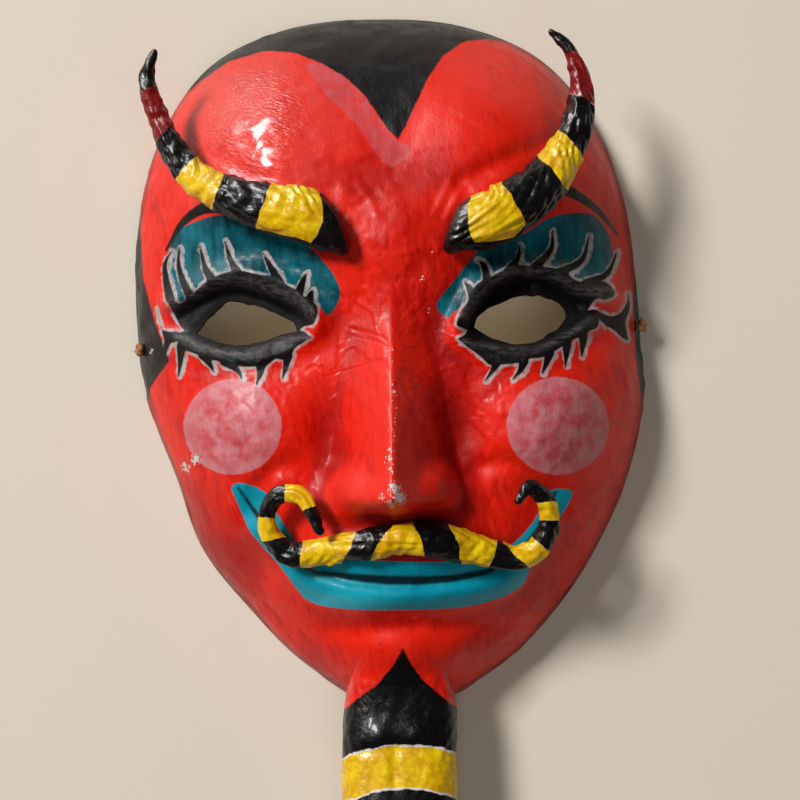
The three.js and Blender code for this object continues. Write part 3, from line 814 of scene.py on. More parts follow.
def eye_hole(name, outline):
    """Upright block whose outline is as seen at the height EYE_HOLE_Z."""
    level = standing(outline[:, 0], outline[:, 1], EYE_HOLE_Z)
    low, high = level.copy(), level.copy()
    low[:, 2], high[:, 2] = EYE_CUTTER_LOW, EYE_CUTTER_HIGH
    return prism(name, low, high)


cutters = [
    eye_hole("eye_left_cutter", eye_left),
    eye_hole("eye_right_cutter", eye_right),
    tie_hole("tie_left_cutter", KNOT_LEFT),
    tie_hole("tie_right_cutter", KNOT_RIGHT),
]
cut(shell, cutters)
print("shell faces after cutting:", len(shell.data.polygons))

# %% [markdown]
# ## Where the paint goes
# All the colour on the face is flat paint, so it must not be raised. Each colour is kept as a
# distance field: for every vertex, how many millimetres it lies inside the painted outline. The
# shader turns that into a crisp, slightly wobbly brush edge. Outlines are drawn as seen.

# %% Outlines of the big areas of paint
HAIR_EDGE = [
    (-104, 90), (-95.5, 98.5), (-88, 106), (-80.5, 111.5), (-75.5, 115.5), (-63.5, 123.5),
    (-48.5, 127.7), (-35.5, 126.5), (-24, 121.5), (-14.5, 115.5), (-7, 108), (-2.5, 101), (2, 94),
    (6.5, 88.5), (10, 94), (15.5, 105), (20.5, 114.5), (27, 123.5), (35.5, 129), (45, 130),
    (54.5, 128.5), (64, 125), (71, 121), (80, 114), (90, 105),
]
HAIR_OUTSIDE = [(110, 125), (90, 170), (0, 180), (-90, 170), (-125, 120)]
SIDEBURN_LEFT = [
    (-101.5, 66), (-102.5, 56), (-102, 33.5), (-98.5, 18), (-95, 6.5), (-92, -1.5), (-96.5, -7),
    (-100.5, -12.5), (-101.5, -19), (-125, -25), (-125, 66),
]
SIDEBURN_RIGHT = [(106.5, 48), (104.5, 30), (103.5, 12), (103.8, -6), (105.5, -22), (125, -25), (125, 48)]
SHADOW_LEFT = [
    (-92.5, 29.5), (-91.5, 39), (-88, 52), (-79.5, 56.5), (-68.5, 59), (-52, 56), (-33, 45),
    (-23.5, 34.5), (-19.5, 24), (-25, 15.5), (-29, 19.5), (-40, 24), (-62, 28), (-82, 16), (-90, 18),
]
SHADOW_RIGHT = [
    (20.5, 19.5), (25, 13), (30, 16.5), (44, 24), (66, 28), (84, 22), (95, 30), (95.5, 38), (94, 46),
    (88.5, 54), (78.5, 55.5), (68, 53), (55.5, 46), (40, 42), (30, 36),
]
KOHL_LEFT_TOP = [
    (-92.5, 24), (-90.5, 24.5), (-89, 23.5), (-86.5, 22.5), (-82.5, 25.5), (-79, 28.5), (-76, 31),
    (-71.5, 33.5), (-67, 35), (-61.5, 35.5), (-57, 34.5), (-53, 33.5), (-47.5, 32.5), (-44, 30.5),
    (-40.5, 28), (-37.5, 26.5), (-35, 24), (-32, 22.5), (-29.5, 19), (-30, 14.5), (-31.5, 12),
    (-35.5, 11), (-41.5, 7), (-58, 4), (-76, 6), (-84.5, 10.5), (-87.5, 14), (-89.5, 18), (-91, 21),
]
KOHL_LEFT_LOW = [
    (-32.5, 6.5), (-33.5, 7.5), (-38.5, 10), (-58, 12), (-80, 14), (-85, 11), (-89.5, 10), (-93.5, 11),
    (-91.5, 8.5), (-88.5, 7), (-87, 4), (-85, 2.5), (-82, 1.5), (-78.5, 0), (-77, -1.5), (-72.5, -2),
    (-68.5, -3.5), (-64, -4.5), (-60, -5), (-56, -5), (-53.5, -6.5), (-51, -4.5), (-47.5, -2),
    (-45, -2.5), (-41, -0.5), (-39.5, 2), (-36.5, 4), (-32.5, 5),
]
FISHTAIL_LEFT = [
    (-97, 20.5), (-95.5, 15), (-94.5, 12), (-93, 11), (-86, 10), (-86, 7), (-89, 6.5), (-91, 6),
    (-92.5, 3.5), (-94, 0), (-94.5, 3.5), (-94, 7), (-94.5, 9.5), (-96, 12.5),
]
KOHL_RIGHT_TOP = [
    (29, 9.5), (29.5, 12.5), (31, 16), (33.5, 19), (35, 23), (36.5, 25), (39, 27.5), (43, 29),
    (44.5, 30), (49, 32), (53, 34), (58, 34), (61.5, 33.5), (67.5, 33), (72, 32), (76, 30), (79.5, 27),
    (83, 26.5), (86, 26.5), (91.5, 26), (94, 24.5), (96, 21.5), (95, 19.5), (92, 18.5), (88.5, 19),
    (86, 17), (83, 13), (73, 4), (54.5, 2), (36, 6), (32.5, 7.5),
]
KOHL_RIGHT_LOW = [
    (29, 4), (32, 5.5), (36, 9), (54.5, 12), (73, 12), (83, 14), (88.5, 14), (88.5, 7.5), (85, 5.5),
    (82.5, 3.5), (79, 2.5), (76, 1), (71.5, -1.5), (67.5, -3.5), (64, -5), (59, -5.5), (54, -7),
    (46.5, -7.5), (42.5, -7.5), (40.5, -6), (37.5, -3), (33.5, 0), (29.5, 2.5),
]
FISHTAIL_RIGHT = [
    (86, 14), (89, 13.5), (93.5, 11.5), (97, 12), (99.5, 14.5), (101, 17.5), (101.5, 21), (102, 17.5),
    (102, 14), (100.5, 10), (100, 7.5), (100.5, 4), (101, 1), (98.5, 2), (95.5, 5), (92, 7), (86, 7),
]
LIPS = [
    (-68, -56), (-64, -53.5), (-54, -57.5), (-51, -63.5), (-46, -72), (-40, -80.5), (-27.5, -85.5),
    (2, -88.7), (31, -89), (48, -83.5), (57, -75.5), (62.5, -67), (65.5, -61), (75, -61.5), (73, -67.5),
    (67.5, -75.5), (60.5, -86), (56, -94), (53.5, -99.5), (44.5, -105), (24.5, -109), (-15, -108.5),
    (-35, -105), (-42, -98.5), (-49, -88.5), (-56, -80), (-61, -73.5), (-64.5, -65),
]
BEARD = [
    (2, -125), (5, -132), (10, -139), (16, -144.5), (23.5, -151), (40, -156), (25.5, -200), (-27, -200),
    (-40, -153), (-24, -150), (-17, -145), (-9.5, -140), (-3, -132.5),
]
VEIL = [
    (-31, 121), (-24, 121.5), (-14.5, 115.5), (-7, 108), (-2.5, 101), (2, 94), (6.5, 88.5), (13, 84),
    (4, 77), (-2, 82), (-7, 90), (-13, 98), (-22, 107), (-33, 114),
]
CHEEK_SPOTS = [(-66.5, -30, 20.5, 20.0), (70, -34, 21.5, 20.5)]


def area_distance(p, q, outline):
    """Millimetres inside a closed outline, negative outside: the distance to its nearest side,
    whose sign comes from how often a line to the right crosses the outline."""
    closed = list(outline) + [outline[0]]
    nearest = line_distance(p, q, closed)
    crossings = np.zeros(p.shape, dtype=int)
    for (ap, aq), (bp, bq) in zip(closed[:-1], closed[1:]):
        spans = (aq > q) != (bq > q)
        level = ap + (q - aq) * (bp - ap) / (bq - aq if bq != aq else 1)
        crossings += spans & (p < level)
    return np.where(crossings % 2 == 1, nearest, -nearest)


print("outline of the lips, points:", len(LIPS))


# %% Brush strokes: brow tails, lashes and the line of the mouth
# Each stroke runs from its base to its tip: points, then half-widths at the base and the tip.
BROW_TAILS = [
    ([(-66, 63), (-76, 62), (-85, 56), (-92, 45)], 3.4, 0.5),
    ([(66, 66), (77, 65), (89, 57), (98, 45.5)], 3.4, 0.5),
]
LASHES_UP_LEFT = [
    [(-91, 24.5), (-92.3, 31.5), (-92.7, 39), (-90, 44.5)],
    [(-82.5, 25), (-85.5, 32), (-87, 39), (-86.5, 46.5)], [(-73.5, 32.5), (-76, 37.5), (-78, 47)],
    [(-62, 34), (-65, 39.5), (-67.5, 48.5)], [(-45, 30), (-49, 37.5), (-51.5, 42.5)],
    [(-37, 25.5), (-35, 30.5), (-33.5, 34)], [(-33, 22), (-32, 24.5), (-31, 26.5)],
]
LASHES_UP_RIGHT = [
    [(36, 22), (34.5, 25.5), (32.5, 28)], [(42.5, 28), (41, 34.5), (38, 37)],
    [(51.5, 32), (55.5, 37), (56.5, 42.5)], [(62, 32.5), (69.5, 40), (70.5, 48.5)],
    [(73, 30.5), (82.5, 35.5), (86, 46)], [(84, 25.5), (93, 29.5), (97.5, 38.5)],
]
LASHES_LOW_LEFT = [
    [(-87, 4.5), (-87.5, -1.5), (-88.5, -8)], [(-78, 0.5), (-75.5, -3), (-73.5, -7)],
    [(-69, -2.5), (-64, -6), (-62, -10)], [(-54, -5), (-54.5, -8.5), (-56, -12.5)],
    [(-42.5, -1), (-43.5, -5.5), (-45, -10.5)],
]
LASHES_LOW_RIGHT = [
    [(45, -6.5), (43.5, -9.5), (40, -14)], [(56.5, -6.5), (55, -10), (51.5, -14)],
    [(67.5, -3.5), (66, -7.5), (64, -12)], [(75, 0.5), (74.5, -4.5), (74, -9.5)],
    [(82, 3.5), (81.5, -1), (81, -5)],
]
LASH_BASE, LASH_TIP = 2.0, 0.3
# The grey outline is painted a little off the lashes, so it shows more on one side.
HALO_SHIFT = (0.6, -0.2)
MOUTH_LINE = [
    (-65, -55.5), (-59, -64.8), (-54, -72.5), (-47, -82), (-39.5, -89.3), (-33, -92.3), (-18, -94.6),
    (-4, -96.4), (10, -97), (25, -96.5), (39, -94), (52, -87), (60, -77.5), (65.5, -67.5), (68, -62),
]
MOUTH_HALF_WIDTHS = [0.6, 0.9, 1.0, 1.0, 0.9, 1.0, 1.5, 1.9, 1.8, 1.5, 1.1, 0.9, 0.9, 0.8, 0.6]


def strokes_distance(p, q, strokes):
    """Millimetres inside the nearest of several tapering strokes."""
    inside = np.full(p.shape, -FAR)
    for points, base, tip in strokes:
        line = smooth_line(points, 6)
        widths = np.linspace(base, tip, len(line))
        inside = np.maximum(inside, -line_distance(p, q, line, widths))
    return inside


lashes = [
    (line, LASH_BASE, LASH_TIP)
    for line in LASHES_UP_LEFT + LASHES_UP_RIGHT + LASHES_LOW_LEFT + LASHES_LOW_RIGHT
]
print("lashes:", len(lashes))

# %% Chips, where paint has come off the white ground
# Middle and radius of each chip as seen. The tip of the nose has lost the most.
CHIPS = [
    (0.5, -58, 3.2), (2.5, -62, 3.4), (-5, -61, 1.7), (-1.5, -64.5, 2.2), (2, -17.5, 1.5),
    (1, -21, 1.1), (0, -33.5, 1.3), (-1, -41, 1.1), (-1.5, -46, 1.9), (-1.5, -50, 1.6), (-87, -46, 2.4),
    (-82.5, -43, 2.8), (-86, -48, 1.7), (20, 41, 1.0), (15, 29.5, 1.5), (17, 16.5, 1.2),
    (-99.5, 3, 1.6), (-16, 41, 0.6), (-25.5, -62, 0.8),
]
NOSE_RIDGE_WEAR = [(1.5, 2), (1, -14), (2, -26), (0.5, -40), (0, -52)]
RIDGE_WEAR_HALF = 0.35


def chip_distance(p, q):
    """Millimetres inside the nearest chip. The worn line down the ridge of the nose is thin."""
    inside = -line_distance(p, q, NOSE_RIDGE_WEAR) + RIDGE_WEAR_HALF
    for chip_p, chip_q, radius in CHIPS:
        inside = np.maximum(inside, radius - np.hypot(p - chip_p, q - chip_q))
    return inside


print("chips:", len(CHIPS))

# %% Painted sheen, painted highlight and light, and gloss
# The crests of the lids are painted grey as painted sheen, in dry-brush streaks: half-widths
# of the grey on the upper and lower ones.
CREST_SHEEN_HALF, LOW_CREST_SHEEN_HALF = 2.3, 1.5
# The left swelling of the forehead is painted pale, a painted highlight, and is glossy: middle,
# then where that starts and is full.
PAINTED_HIGHLIGHT_LOBE = (-54, 96, 58, 12)
GLOSSY_LOBE = (-54, 98, 30, 10)
# The edge of an eye hole is matt: millimetres inside its outline where that starts and is full.
MATT_EDGE_START, MATT_EDGE_FULL = -3.5, -0.8
# Other places painted pale as painted light, and a lighter band on the lower lip: middle,
# half-widths and strength.
PAINTED_LIGHT_PLACES = [(-21, -57, 10, 10, 0.4), (48, 112, 26, 16, 0.35), (-88, 44, 10, 26, 0.3)]
LIGHTER_LIP_BAND = (-22, -104, 16, 3.5, 1.0)


def line_glow(p, q, lines, half):
    """1 on the lines, fading to both sides like a bell."""
    nearest = np.minimum.reduce([line_distance(p, q, smooth_line(line, 6)) for line in lines])
    return np.exp(-(nearest / half) ** 2)


def lobe(p, q, middle_p, middle_q, start, full):
    """0 further than `start` from the middle, and 1 nearer than `full`."""
    return smooth_step(-np.hypot(p - middle_p, q - middle_q), -start, -full)


print("pale places besides the swelling:", len(PAINTED_LIGHT_PLACES))

# %% Painted shade and painted light on the red
# Places of painted shade (deeper) and painted light (paler) on the red: middle as seen, half-widths,
# and how much deeper (or paler).
SHADE_AND_LIGHT_PLACES = [
    (4, 62, 26, 17, 0.55), (36, 78, 22, 10, 0.35), (24, -22, 9, 22, 0.4), (46, 2, 30, 8, 0.2),
    (-70, -84, 20, 22, 0.8), (2, -86, 34, 6, 1.1), (60, -92, 18, 26, 0.6), (2, -118, 24, 9, -0.5),
    (-36, -16, 14, 16, -0.25), (36, 104, 24, 22, -0.35), (-22, -60, 10, 10, -0.6),
    (-16, -30, 8, 20, -0.4), (-88, -70, 12, 30, 0.5), (-34, -130, 9, 22, 0.45), (24, 10, 10, 16, 0.3),
    (22, -58, 9, 9, 0.45), (-13, -134, 8, 16, -0.5), (15, -134, 8, 16, -0.4),
]
# Hollows get painted shade: the red is deeper there. Depth is judged from places this far round,
# and HOLLOW_FULL counts 1.
HOLLOW_REACH, HOLLOW_SAMPLES = 8.0, 8
HOLLOW_FULL = 2.5


def hollowness(p, q):
    """How far a place lies below its surroundings, in millimetres: the mean height of some places
    round it, less its own height."""
    around = 0
    for turn in angles_round(HOLLOW_SAMPLES):
        around = around + face_height(p + HOLLOW_REACH * math.cos(turn), q + HOLLOW_REACH * math.sin(turn))
    return around / HOLLOW_SAMPLES - face_height(p, q)


print("deeper and paler places:", len(SHADE_AND_LIGHT_PLACES))


# %% Measure the paint on the shell
def vertex_places(piece):
    """Millimetres from the face's middle to each vertex."""
    flat = np.empty(len(piece.data.vertices) * 3)
    piece.data.vertices.foreach_get("co", flat)
    return flat.reshape(-1, 3) / MM - FACE_MIDDLE


places = vertex_places(shell)
p, q = as_seen(places)
# Depth in the wall: 0 on the painted skin and 1 on the bare inside.
outer_height = skin_height(p, q)
depth_down = (outer_height - places[:, 2]) / np.maximum(outer_height - face_height(p, q, WALL), 1)
depth_in = (rim_radius(np.arctan2(q, p)) - np.hypot(p, q)) / WALL
depth = np.clip(np.minimum(depth_down, depth_in), 0, 1)
hair = np.maximum.reduce([
    area_distance(p, q, HAIR_EDGE + HAIR_OUTSIDE),
    area_distance(p, q, SIDEBURN_LEFT),
    area_distance(p, q, SIDEBURN_RIGHT),
])
lash = strokes_distance(p, q, lashes)
halo = strokes_distance(p - HALO_SHIFT[0], q - HALO_SHIFT[1], lashes)
kohl = np.maximum.reduce([
    area_distance(p, q, rounded(outline)) for outline in (
        KOHL_LEFT_TOP, KOHL_LEFT_LOW, FISHTAIL_LEFT, KOHL_RIGHT_TOP, KOHL_RIGHT_LOW, FISHTAIL_RIGHT,
    )
])
eyeshadow = np.maximum(*[area_distance(p, q, rounded(outline)) for outline in (SHADOW_LEFT, SHADOW_RIGHT)])
inside_hole = np.maximum(area_distance(p, q, EYE_LEFT), area_distance(p, q, EYE_RIGHT))
# Painted sheen: grey along the crests of the upper and lower lids.
crest_sheen = line_glow(p, q, [LID_CREST_LEFT, LID_CREST_RIGHT], CREST_SHEEN_HALF)
low_crest_sheen = line_glow(p, q, [LOW_LID_CREST_LEFT, LOW_LID_CREST_RIGHT], LOW_CREST_SHEEN_HALF)
# Painted shade: the red is painted deeper in hollows.
hollow = np.clip(hollowness(p, q) / HOLLOW_FULL, -0.12, 0.8)
_, strip_tone = strip_steps(p, q, STRIP_SEED)
cheek = np.maximum.reduce([
    (1 - np.hypot((p - at_p) / half_p, (q - at_q) / half_q)) * half_p
    for at_p, at_q, half_p, half_q in CHEEK_SPOTS
])
print("vertices measured:", len(places))

# %% Put every field on the shell
FIELDS = {
    "hair": hair,
    "eyeshadow": eyeshadow,
    "liner": np.maximum(kohl, lash),
    "halo": np.maximum(kohl, halo),
    "brow_tail": strokes_distance(p, q, BROW_TAILS),
    "cheek": cheek,
    "lips": area_distance(p, q, rounded(LIPS)),
    "mouth": -line_distance(p, q, MOUTH_LINE, MOUTH_HALF_WIDTHS),
    "beard": area_distance(p, q, BEARD),
    "veil": area_distance(p, q, rounded(VEIL)),
    "chip": chip_distance(p, q),
    "strip_tone": strip_tone,
    "depth": depth,
    "hole_edge": smooth_step(inside_hole, MATT_EDGE_START, MATT_EDGE_FULL),
    # pale: painted highlight on the left swelling of the forehead and painted light on other places.
    "pale": lobe(p, q, *PAINTED_HIGHLIGHT_LOBE) + sum(bell(p, q, *place) for place in PAINTED_LIGHT_PLACES),
    "shine": lobe(p, q, *GLOSSY_LOBE),
    # lid: painted sheen along the crests of the lids.
    "lid": crest_sheen + 0.8 * low_crest_sheen,
    "lighter_lip": bell(p, q, *LIGHTER_LIP_BAND),
    # deeper: painted shade in hollows and shaded places, and painted light where it is below nought.
    "deeper": hollow + sum(bell(p, q, *place) for place in SHADE_AND_LIGHT_PLACES),
}
for name, values in FIELDS.items():
    set_attribute(shell, name, values)
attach(shell, "root")
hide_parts("mask_shell")
print("vertices painted:", len(places))

# %% [markdown]
# ## Rolls of paper
# Horns, moustache and goatee are paper wound into a rope, bent, glued on and wrapped with more
# strips. Each is an oval section carried along a path. Crushed paper has sharp ridges between flat
# facets, so its relief is ridged noise. Where a roll lies on the face it is pressed down onto it.

# %% Crushed paper
FOLD_WAVES = 7
# Times the size of a fold: how finely places bend and by how much, and the patches of each wave.
BEND_SIZE, BEND, PATCH_SIZE = 2.3, 0.4, 2.6
# The sum of the waves swings about this far, so it is divided by it.
FOLD_SWING = 2.6


def folds(places, size, seed):
    """Crushed paper: flat facets between straight creases. Seven triangle waves with seeded random
    directions are added, each of which comes and goes, on places that are bent a little first."""
    rng = np.random.default_rng(seed)
    bend = np.stack([lattice_noise(places, BEND_SIZE * size, seed + step) for step in (1, 2, 3)], axis=1)
    bent = np.asarray(places) + BEND * size * bend
    total = 0
    for wave in range(FOLD_WAVES):
        direction = rng.normal(size=3)
        direction /= np.linalg.norm(direction)
        phase = bent @ direction / (size * rng.uniform(0.8, 1.7)) + rng.uniform()
        triangle = 4 * np.abs(phase - np.floor(phase + 0.5)) - 1
        comes = smooth_step(lattice_noise(places, PATCH_SIZE * size, seed + 10 + wave), -0.3, 0.5)
        total = total + triangle * comes
    return total / FOLD_SWING


creased = folds(np.indices((12, 12, 12)).reshape(3, -1).T * 2.3, 5.0, 1)
print("crushed paper swings between", creased.min().round(2), "and", creased.max().round(2))

# %% Settle a roll on the face
PRESSED_IN = 1.2
CHIN_FILLET = 13.0
# Rolls settle on the face only inside this share of the way to the rim.
SETTLES_INSIDE = 0.985


def press_onto_face(points, angle):
    """Lift whatever is deeper than PRESSED_IN under the face, along the line to EYE, so that the
    roll keeps its outline as seen."""
    p, q = as_seen(points)
    floor = face_height(p, q) - PRESSED_IN * (1 - 1.6 * smooth_step(np.sin(angle), -0.3, 0.4))
    sunk = (rim_share(p, q) < SETTLES_INSIDE) & (points[:, 2] < floor)
    return np.where(sunk[:, None], standing(p, q, floor), points)


def grow_out_of_chin(points, angle):
    """Soft union with the face: where the front of the roll and the skin are less than CHIN_FILLET
    apart in height, the roll rises by a quarter of the square of what is left, over CHIN_FILLET."""
    p, q = as_seen(points)
    front = smooth_step(np.sin(angle), -0.1, 0.35)
    skin = skin_height(p, q) - PRESSED_IN + front * (PRESSED_IN - 0.25)
    left = np.maximum(0, CHIN_FILLET - np.abs(points[:, 2] - skin)) * front
    height = np.maximum(points[:, 2], skin) + left ** 2 / (4 * CHIN_FILLET)
    return np.where((rim_share(p, q) < SETTLES_INSIDE)[:, None], standing(p, q, height), points)


print("rolls are pressed into the face by, mm:", PRESSED_IN)


# %% Build a roll
# Rings that round each end, and how far along a slanting cut is felt.
CAP_RINGS = 9
SLANT_FADE = 22
# Rise and size of the two sizes of folds and of the grain, and the relief's mean.
FOLD_RISE, FOLD_SIZE = 0.5, 7.0
SMALL_FOLD_RISE, SMALL_FOLD_SIZE = 0.46, 3.4
GRAIN_RISE, GRAIN_SIZE = 0.12, 1.3
CRUMPLE_MEAN = 0.25
# Folds are longer along a roll by this.
FOLD_STRETCH = 1.5


def crumpled(places, seed):
    """Relief of crushed paper in two sizes of folds, with a fine grain, round a mean of nought."""
    relief = FOLD_RISE * folds(places, FOLD_SIZE, seed)
    relief = relief + SMALL_FOLD_RISE * folds(places, SMALL_FOLD_SIZE, seed + 40)
    return relief + GRAIN_RISE * lattice_noise(places, GRAIN_SIZE, seed + 2) - CRUMPLE_MEAN


def roll(
    name, stations, sides, rings, crumple, seed,
    cut_slant=0.0, blunt=1.0, start_full=1.0, square=1.0, settle=press_onto_face,
):
    """Oval section along a smooth path with rounded ends. Each ring stands across the path, and
    crumpling moves each point in or out along its radius. A slanting cut shifts the first rings
    along the path by cut_slant times the distance across. A square below 1 makes the section boxy.
    Returns the piece, the distance of each vertex along the path, and the path itself."""
    stations = smooth_line(stations, 24)
    centre = standing(stations[:, 0], stations[:, 1], stations[:, 2])
    rows, along = evenly(np.hstack([centre, stations[:, 3:]]), rings)
    centre, wide, deep = rows[:, :3], rows[:, 3], rows[:, 4]
    lift = np.arange(CAP_RINGS, 0, -1) / (CAP_RINGS + 1) * math.pi / 2
    capped = np.full(CAP_RINGS, rings - 1)
    index = np.concatenate([0 * capped, np.arange(rings), capped])
    before, after = -np.sin(lift) * deep[0] * blunt, np.sin(lift[::-1]) * deep[-1]
    beyond = np.concatenate([before, np.zeros(rings), after])
    scale = np.concatenate([np.cos(lift) ** start_full, np.ones(rings), np.cos(lift[::-1])])
    ahead, across, up = [vectors[index] for vectors in frames_along(centre)]
    angle = angles_round(sides)
    cosine, sine = np.cos(angle), np.sin(angle)
    sideways = (wide[index] * scale)[:, None] * (np.sign(cosine) * np.abs(cosine) ** square)[None, :]
    upwards = (deep[index] * scale)[:, None] * (np.sign(sine) * np.abs(sine) ** square)[None, :]
    reach = along[index] + beyond
    slant = cut_slant * sideways * (1 - smooth_step(reach, 0, SLANT_FADE))[:, None]
    middle = centre[index] + ahead * beyond[:, None]
    points = middle[:, None, :] + across[:, None, :] * sideways[:, :, None]
    points += up[:, None, :] * upwards[:, :, None] + ahead[:, None, :] * slant[:, :, None]
    lengthwise = np.repeat(reach[:, None], sides, axis=1) / FOLD_STRETCH
    unrolled = np.stack([lengthwise, sideways, upwards], axis=-1)
    # The ends and thin parts are crushed less.
    fade = np.repeat(np.clip(scale, 0.25, 1) * np.clip(wide[index] / 5, 0.5, 1), sides)
    moved = crumpled(unrolled.reshape(-1, 3), seed) * crumple * fade
    points = points.reshape(-1, 3) + outwards_from(across, up, angle).reshape(-1, 3) * moved[:, None]
    points = settle(points, np.tile(angle, len(index)))
    piece = new_piece(name, *closed_tube(points.reshape(len(index), sides, 3)))
    along_each = np.append(np.repeat(reach, sides), [reach[0], reach[-1]])
    return piece, along_each, (centre, along)


print("each end of a roll is rounded by", CAP_RINGS, "rings")


# %% Bands of colour on a roll
def past_joint(places, along, path, joint, reach):
    """Millimetres past one joint. A joint is a cut between two places as seen, which bows along the
    roll in its middle. Further than `reach` away, the distance along the roll takes over."""
    (start_p, start_q), (end_p, end_q), bow = joint
    middle_p, middle_q = (start_p + end_p) / 2, (start_q + end_q) / 2
    centre, path_along = path
    path_p, path_q = as_seen(centre)
    nearest = int(np.clip(np.argmin(np.hypot(path_p - middle_p, path_q - middle_q)), 1, len(path_p) - 2))
    onward = (path_p[nearest + 1] - path_p[nearest - 1], path_q[nearest + 1] - path_q[nearest - 1])
    half = math.hypot(end_p - start_p, end_q - start_q) / 2
    cut_p, cut_q = (end_p - middle_p) / half, (end_q - middle_q) / half
    side = 1 if -cut_q * onward[0] + cut_p * onward[1] > 0 else -1
    p, q = as_seen(places)
    across = ((p - middle_p) * cut_p + (q - middle_q) * cut_q) / half
    past = side * ((q - middle_q) * cut_p - (p - middle_p) * cut_q) - bow * np.maximum(0, 1 - across ** 2)
    away = along - path_along[nearest]
    return np.where(np.abs(away) > reach, away, past)


def above_edge(places, edge):
    """Millimetres above a line that runs from left to right, and far above beyond its ends."""
    p, q = as_seen(places)
    edge_p, edge_q = np.array(edge, dtype=float).T
    beyond = (p < edge_p[0]) | (p > edge_p[-1])
    return np.where(beyond, FAR, q - np.interp(p, edge_p, edge_q))


# Fields of a roll are kept within this many millimetres.
FIELD_LIMIT = 20


def band_fields(piece, joints, along, path, colours, black_edge=None, reach=10.0, wander=0.5):
    """Fields for a striped roll. colours names what lies before, between and after the joints."""
    places = vertex_places(piece)
    ragged = wander * lattice_noise(places, 4.0, 61) + 0.5 * wander * lattice_noise(places, 1.7, 62)
    offsets = [past_joint(places, along, path, joint, reach) + ragged for joint in joints]
    low = [np.full_like(along, FAR)] + offsets
    high = [-offset for offset in offsets] + [np.full_like(along, FAR)]
    for colour in ("yellow", "red"):
        inside = np.full_like(along, -FAR)
        for named, from_low, from_high in zip(colours, low, high):
            if named == colour:
                inside = np.maximum(inside, np.minimum(from_low, from_high))
        if black_edge and colour == "yellow":
            inside = np.minimum(inside, above_edge(places, black_edge) + ragged)
        set_attribute(piece, colour, np.clip(inside, -FIELD_LIMIT, FIELD_LIMIT))
    set_attribute(piece, "joint", np.minimum.reduce([np.abs(offset) for offset in offsets]))
    print(piece.name, "length, mm:", round(path[1][-1], 1), "joints:", len(joints))


# %% Horns
HORN_LEFT = [
    (-25.4, 54.6, 70, 11.6, 9.5), (-39, 58.8, 70.5, 10.8, 9.5), (-59, 65, 66.5, 8.8, 8.6),
    (-76, 73, 57.5, 7.1, 7.2), (-87, 86, 52, 5.8, 6), (-94.3, 103, 49.5, 4.5, 4.6),
    (-97.5, 117.5, 49, 3.4, 3.4), (-94.5, 128, 50, 1.7, 1.7),
]
HORN_RIGHT = [
    (34, 52.3, 69.5, 10.2, 9.2), (47.5, 55.8, 69, 11.5, 9.5), (65.5, 66.5, 62.5, 10, 9),
    (75.5, 79, 56, 8.2, 8), (83, 94, 53, 6.8, 6.6), (84.5, 111.5, 51, 4.6, 4.6), (80, 124.5, 51, 3, 3),
    (73, 132, 51.5, 1.5, 1.5),
]
HORN_COLOURS = ["black", "yellow", "black", "yellow", "black", "red", "black"]
# Below this line the first yellow band leaves a black edge.
BLACK_EDGE_LEFT = ((-56, 53.4), (-37.4, 48.6), (-32, 46.4), (-26, 45))
BLACK_EDGE_RIGHT = ((28, 44.6), (41.9, 44.4), (54, 45.4), (58.9, 50.3), (62, 54))
# The two ends of each joint as seen, and how far its middle bows along the horn.
HORN_JOINTS_LEFT = [
    ((-27, 66), (-31.5, 46.3), -3), ((-47.4, 71.4), (-54, 53.3), 0.5),
    ((-67, 75.6), (-71.9, 62.1), 0.8), ((-78, 83.9), (-86, 76.2), 0.6),
    ((-88.9, 96.7), (-95.4, 90.3), 0.6), ((-93.6, 114.4), (-100, 112.5), 0.3),
]
HORN_JOINTS_RIGHT = [
    ((36.3, 62.7), (37.5, 45), -2), ((49.9, 68.4), (59.1, 51), 1.2), ((64.1, 80.6), (76.4, 66.3), 1.0),
    ((73.1, 91.4), (84.4, 78.8), 1.4), ((78.6, 105.5), (90.6, 99.5), 1.8),
    ((77, 122.2), (84.1, 123.8), 0.4),
]
# The thick end is cut at a slant, a little flat and full. Then the mesh, and how crushed it is.
HORN_CUT_SLANT, HORN_BLUNT, HORN_FULL = 0.72, 0.8, 0.6
HORN_SIDES, HORN_RINGS, HORN_CRUMPLE = 120, 300, 1.55
horns = []
for node, stations, joints, black_edge, cut_slant, seed in (
    ("horn_left", HORN_LEFT, HORN_JOINTS_LEFT, BLACK_EDGE_LEFT, HORN_CUT_SLANT, 71),
    ("horn_right", HORN_RIGHT, HORN_JOINTS_RIGHT, BLACK_EDGE_RIGHT, -HORN_CUT_SLANT, 81),
):
    horn, along, path = roll(
        node + "_rolled", stations, HORN_SIDES, HORN_RINGS, HORN_CRUMPLE, seed,
        cut_slant, HORN_BLUNT, HORN_FULL,
    )
    band_fields(horn, joints, along, path, HORN_COLOURS, black_edge)
    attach(horn, "root")
    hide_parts(node)
    horns.append(horn)

# %% Moustache
MOUSTACHE = [
    (-31.5, -75, 71.5, 1.8, 1.8), (-35, -66, 70.5, 2.9, 2.9), (-40, -59.5, 68, 3.7, 3.7),
    (-49, -59.7, 65, 3.6, 3.6), (-53.2, -67, 61.5, 3.7, 3.7), (-51.6, -76.6, 58.5, 4.3, 4.3),
    (-44, -84, 58, 5.4, 5.4), (-28.5, -83, 61, 5.8, 5.8), (-10.5, -81, 66, 6.6, 6.6),
    (3.5, -79.1, 67.5, 6.3, 6.6), (17, -80, 66, 7.5, 7), (32.5, -84.5, 61, 6.6, 6.4),
    (46.5, -88.5, 57, 5.4, 5.4), (57, -87, 55.5, 5.2, 5.2), (63.5, -79.5, 56.5, 4.6, 4.6),
    (65, -70, 58.5, 4, 4), (62, -62.5, 61, 3.6, 3.6), (57, -59.5, 63.5, 3, 3),
    (52.5, -65, 65.5, 1.6, 1.6),
]
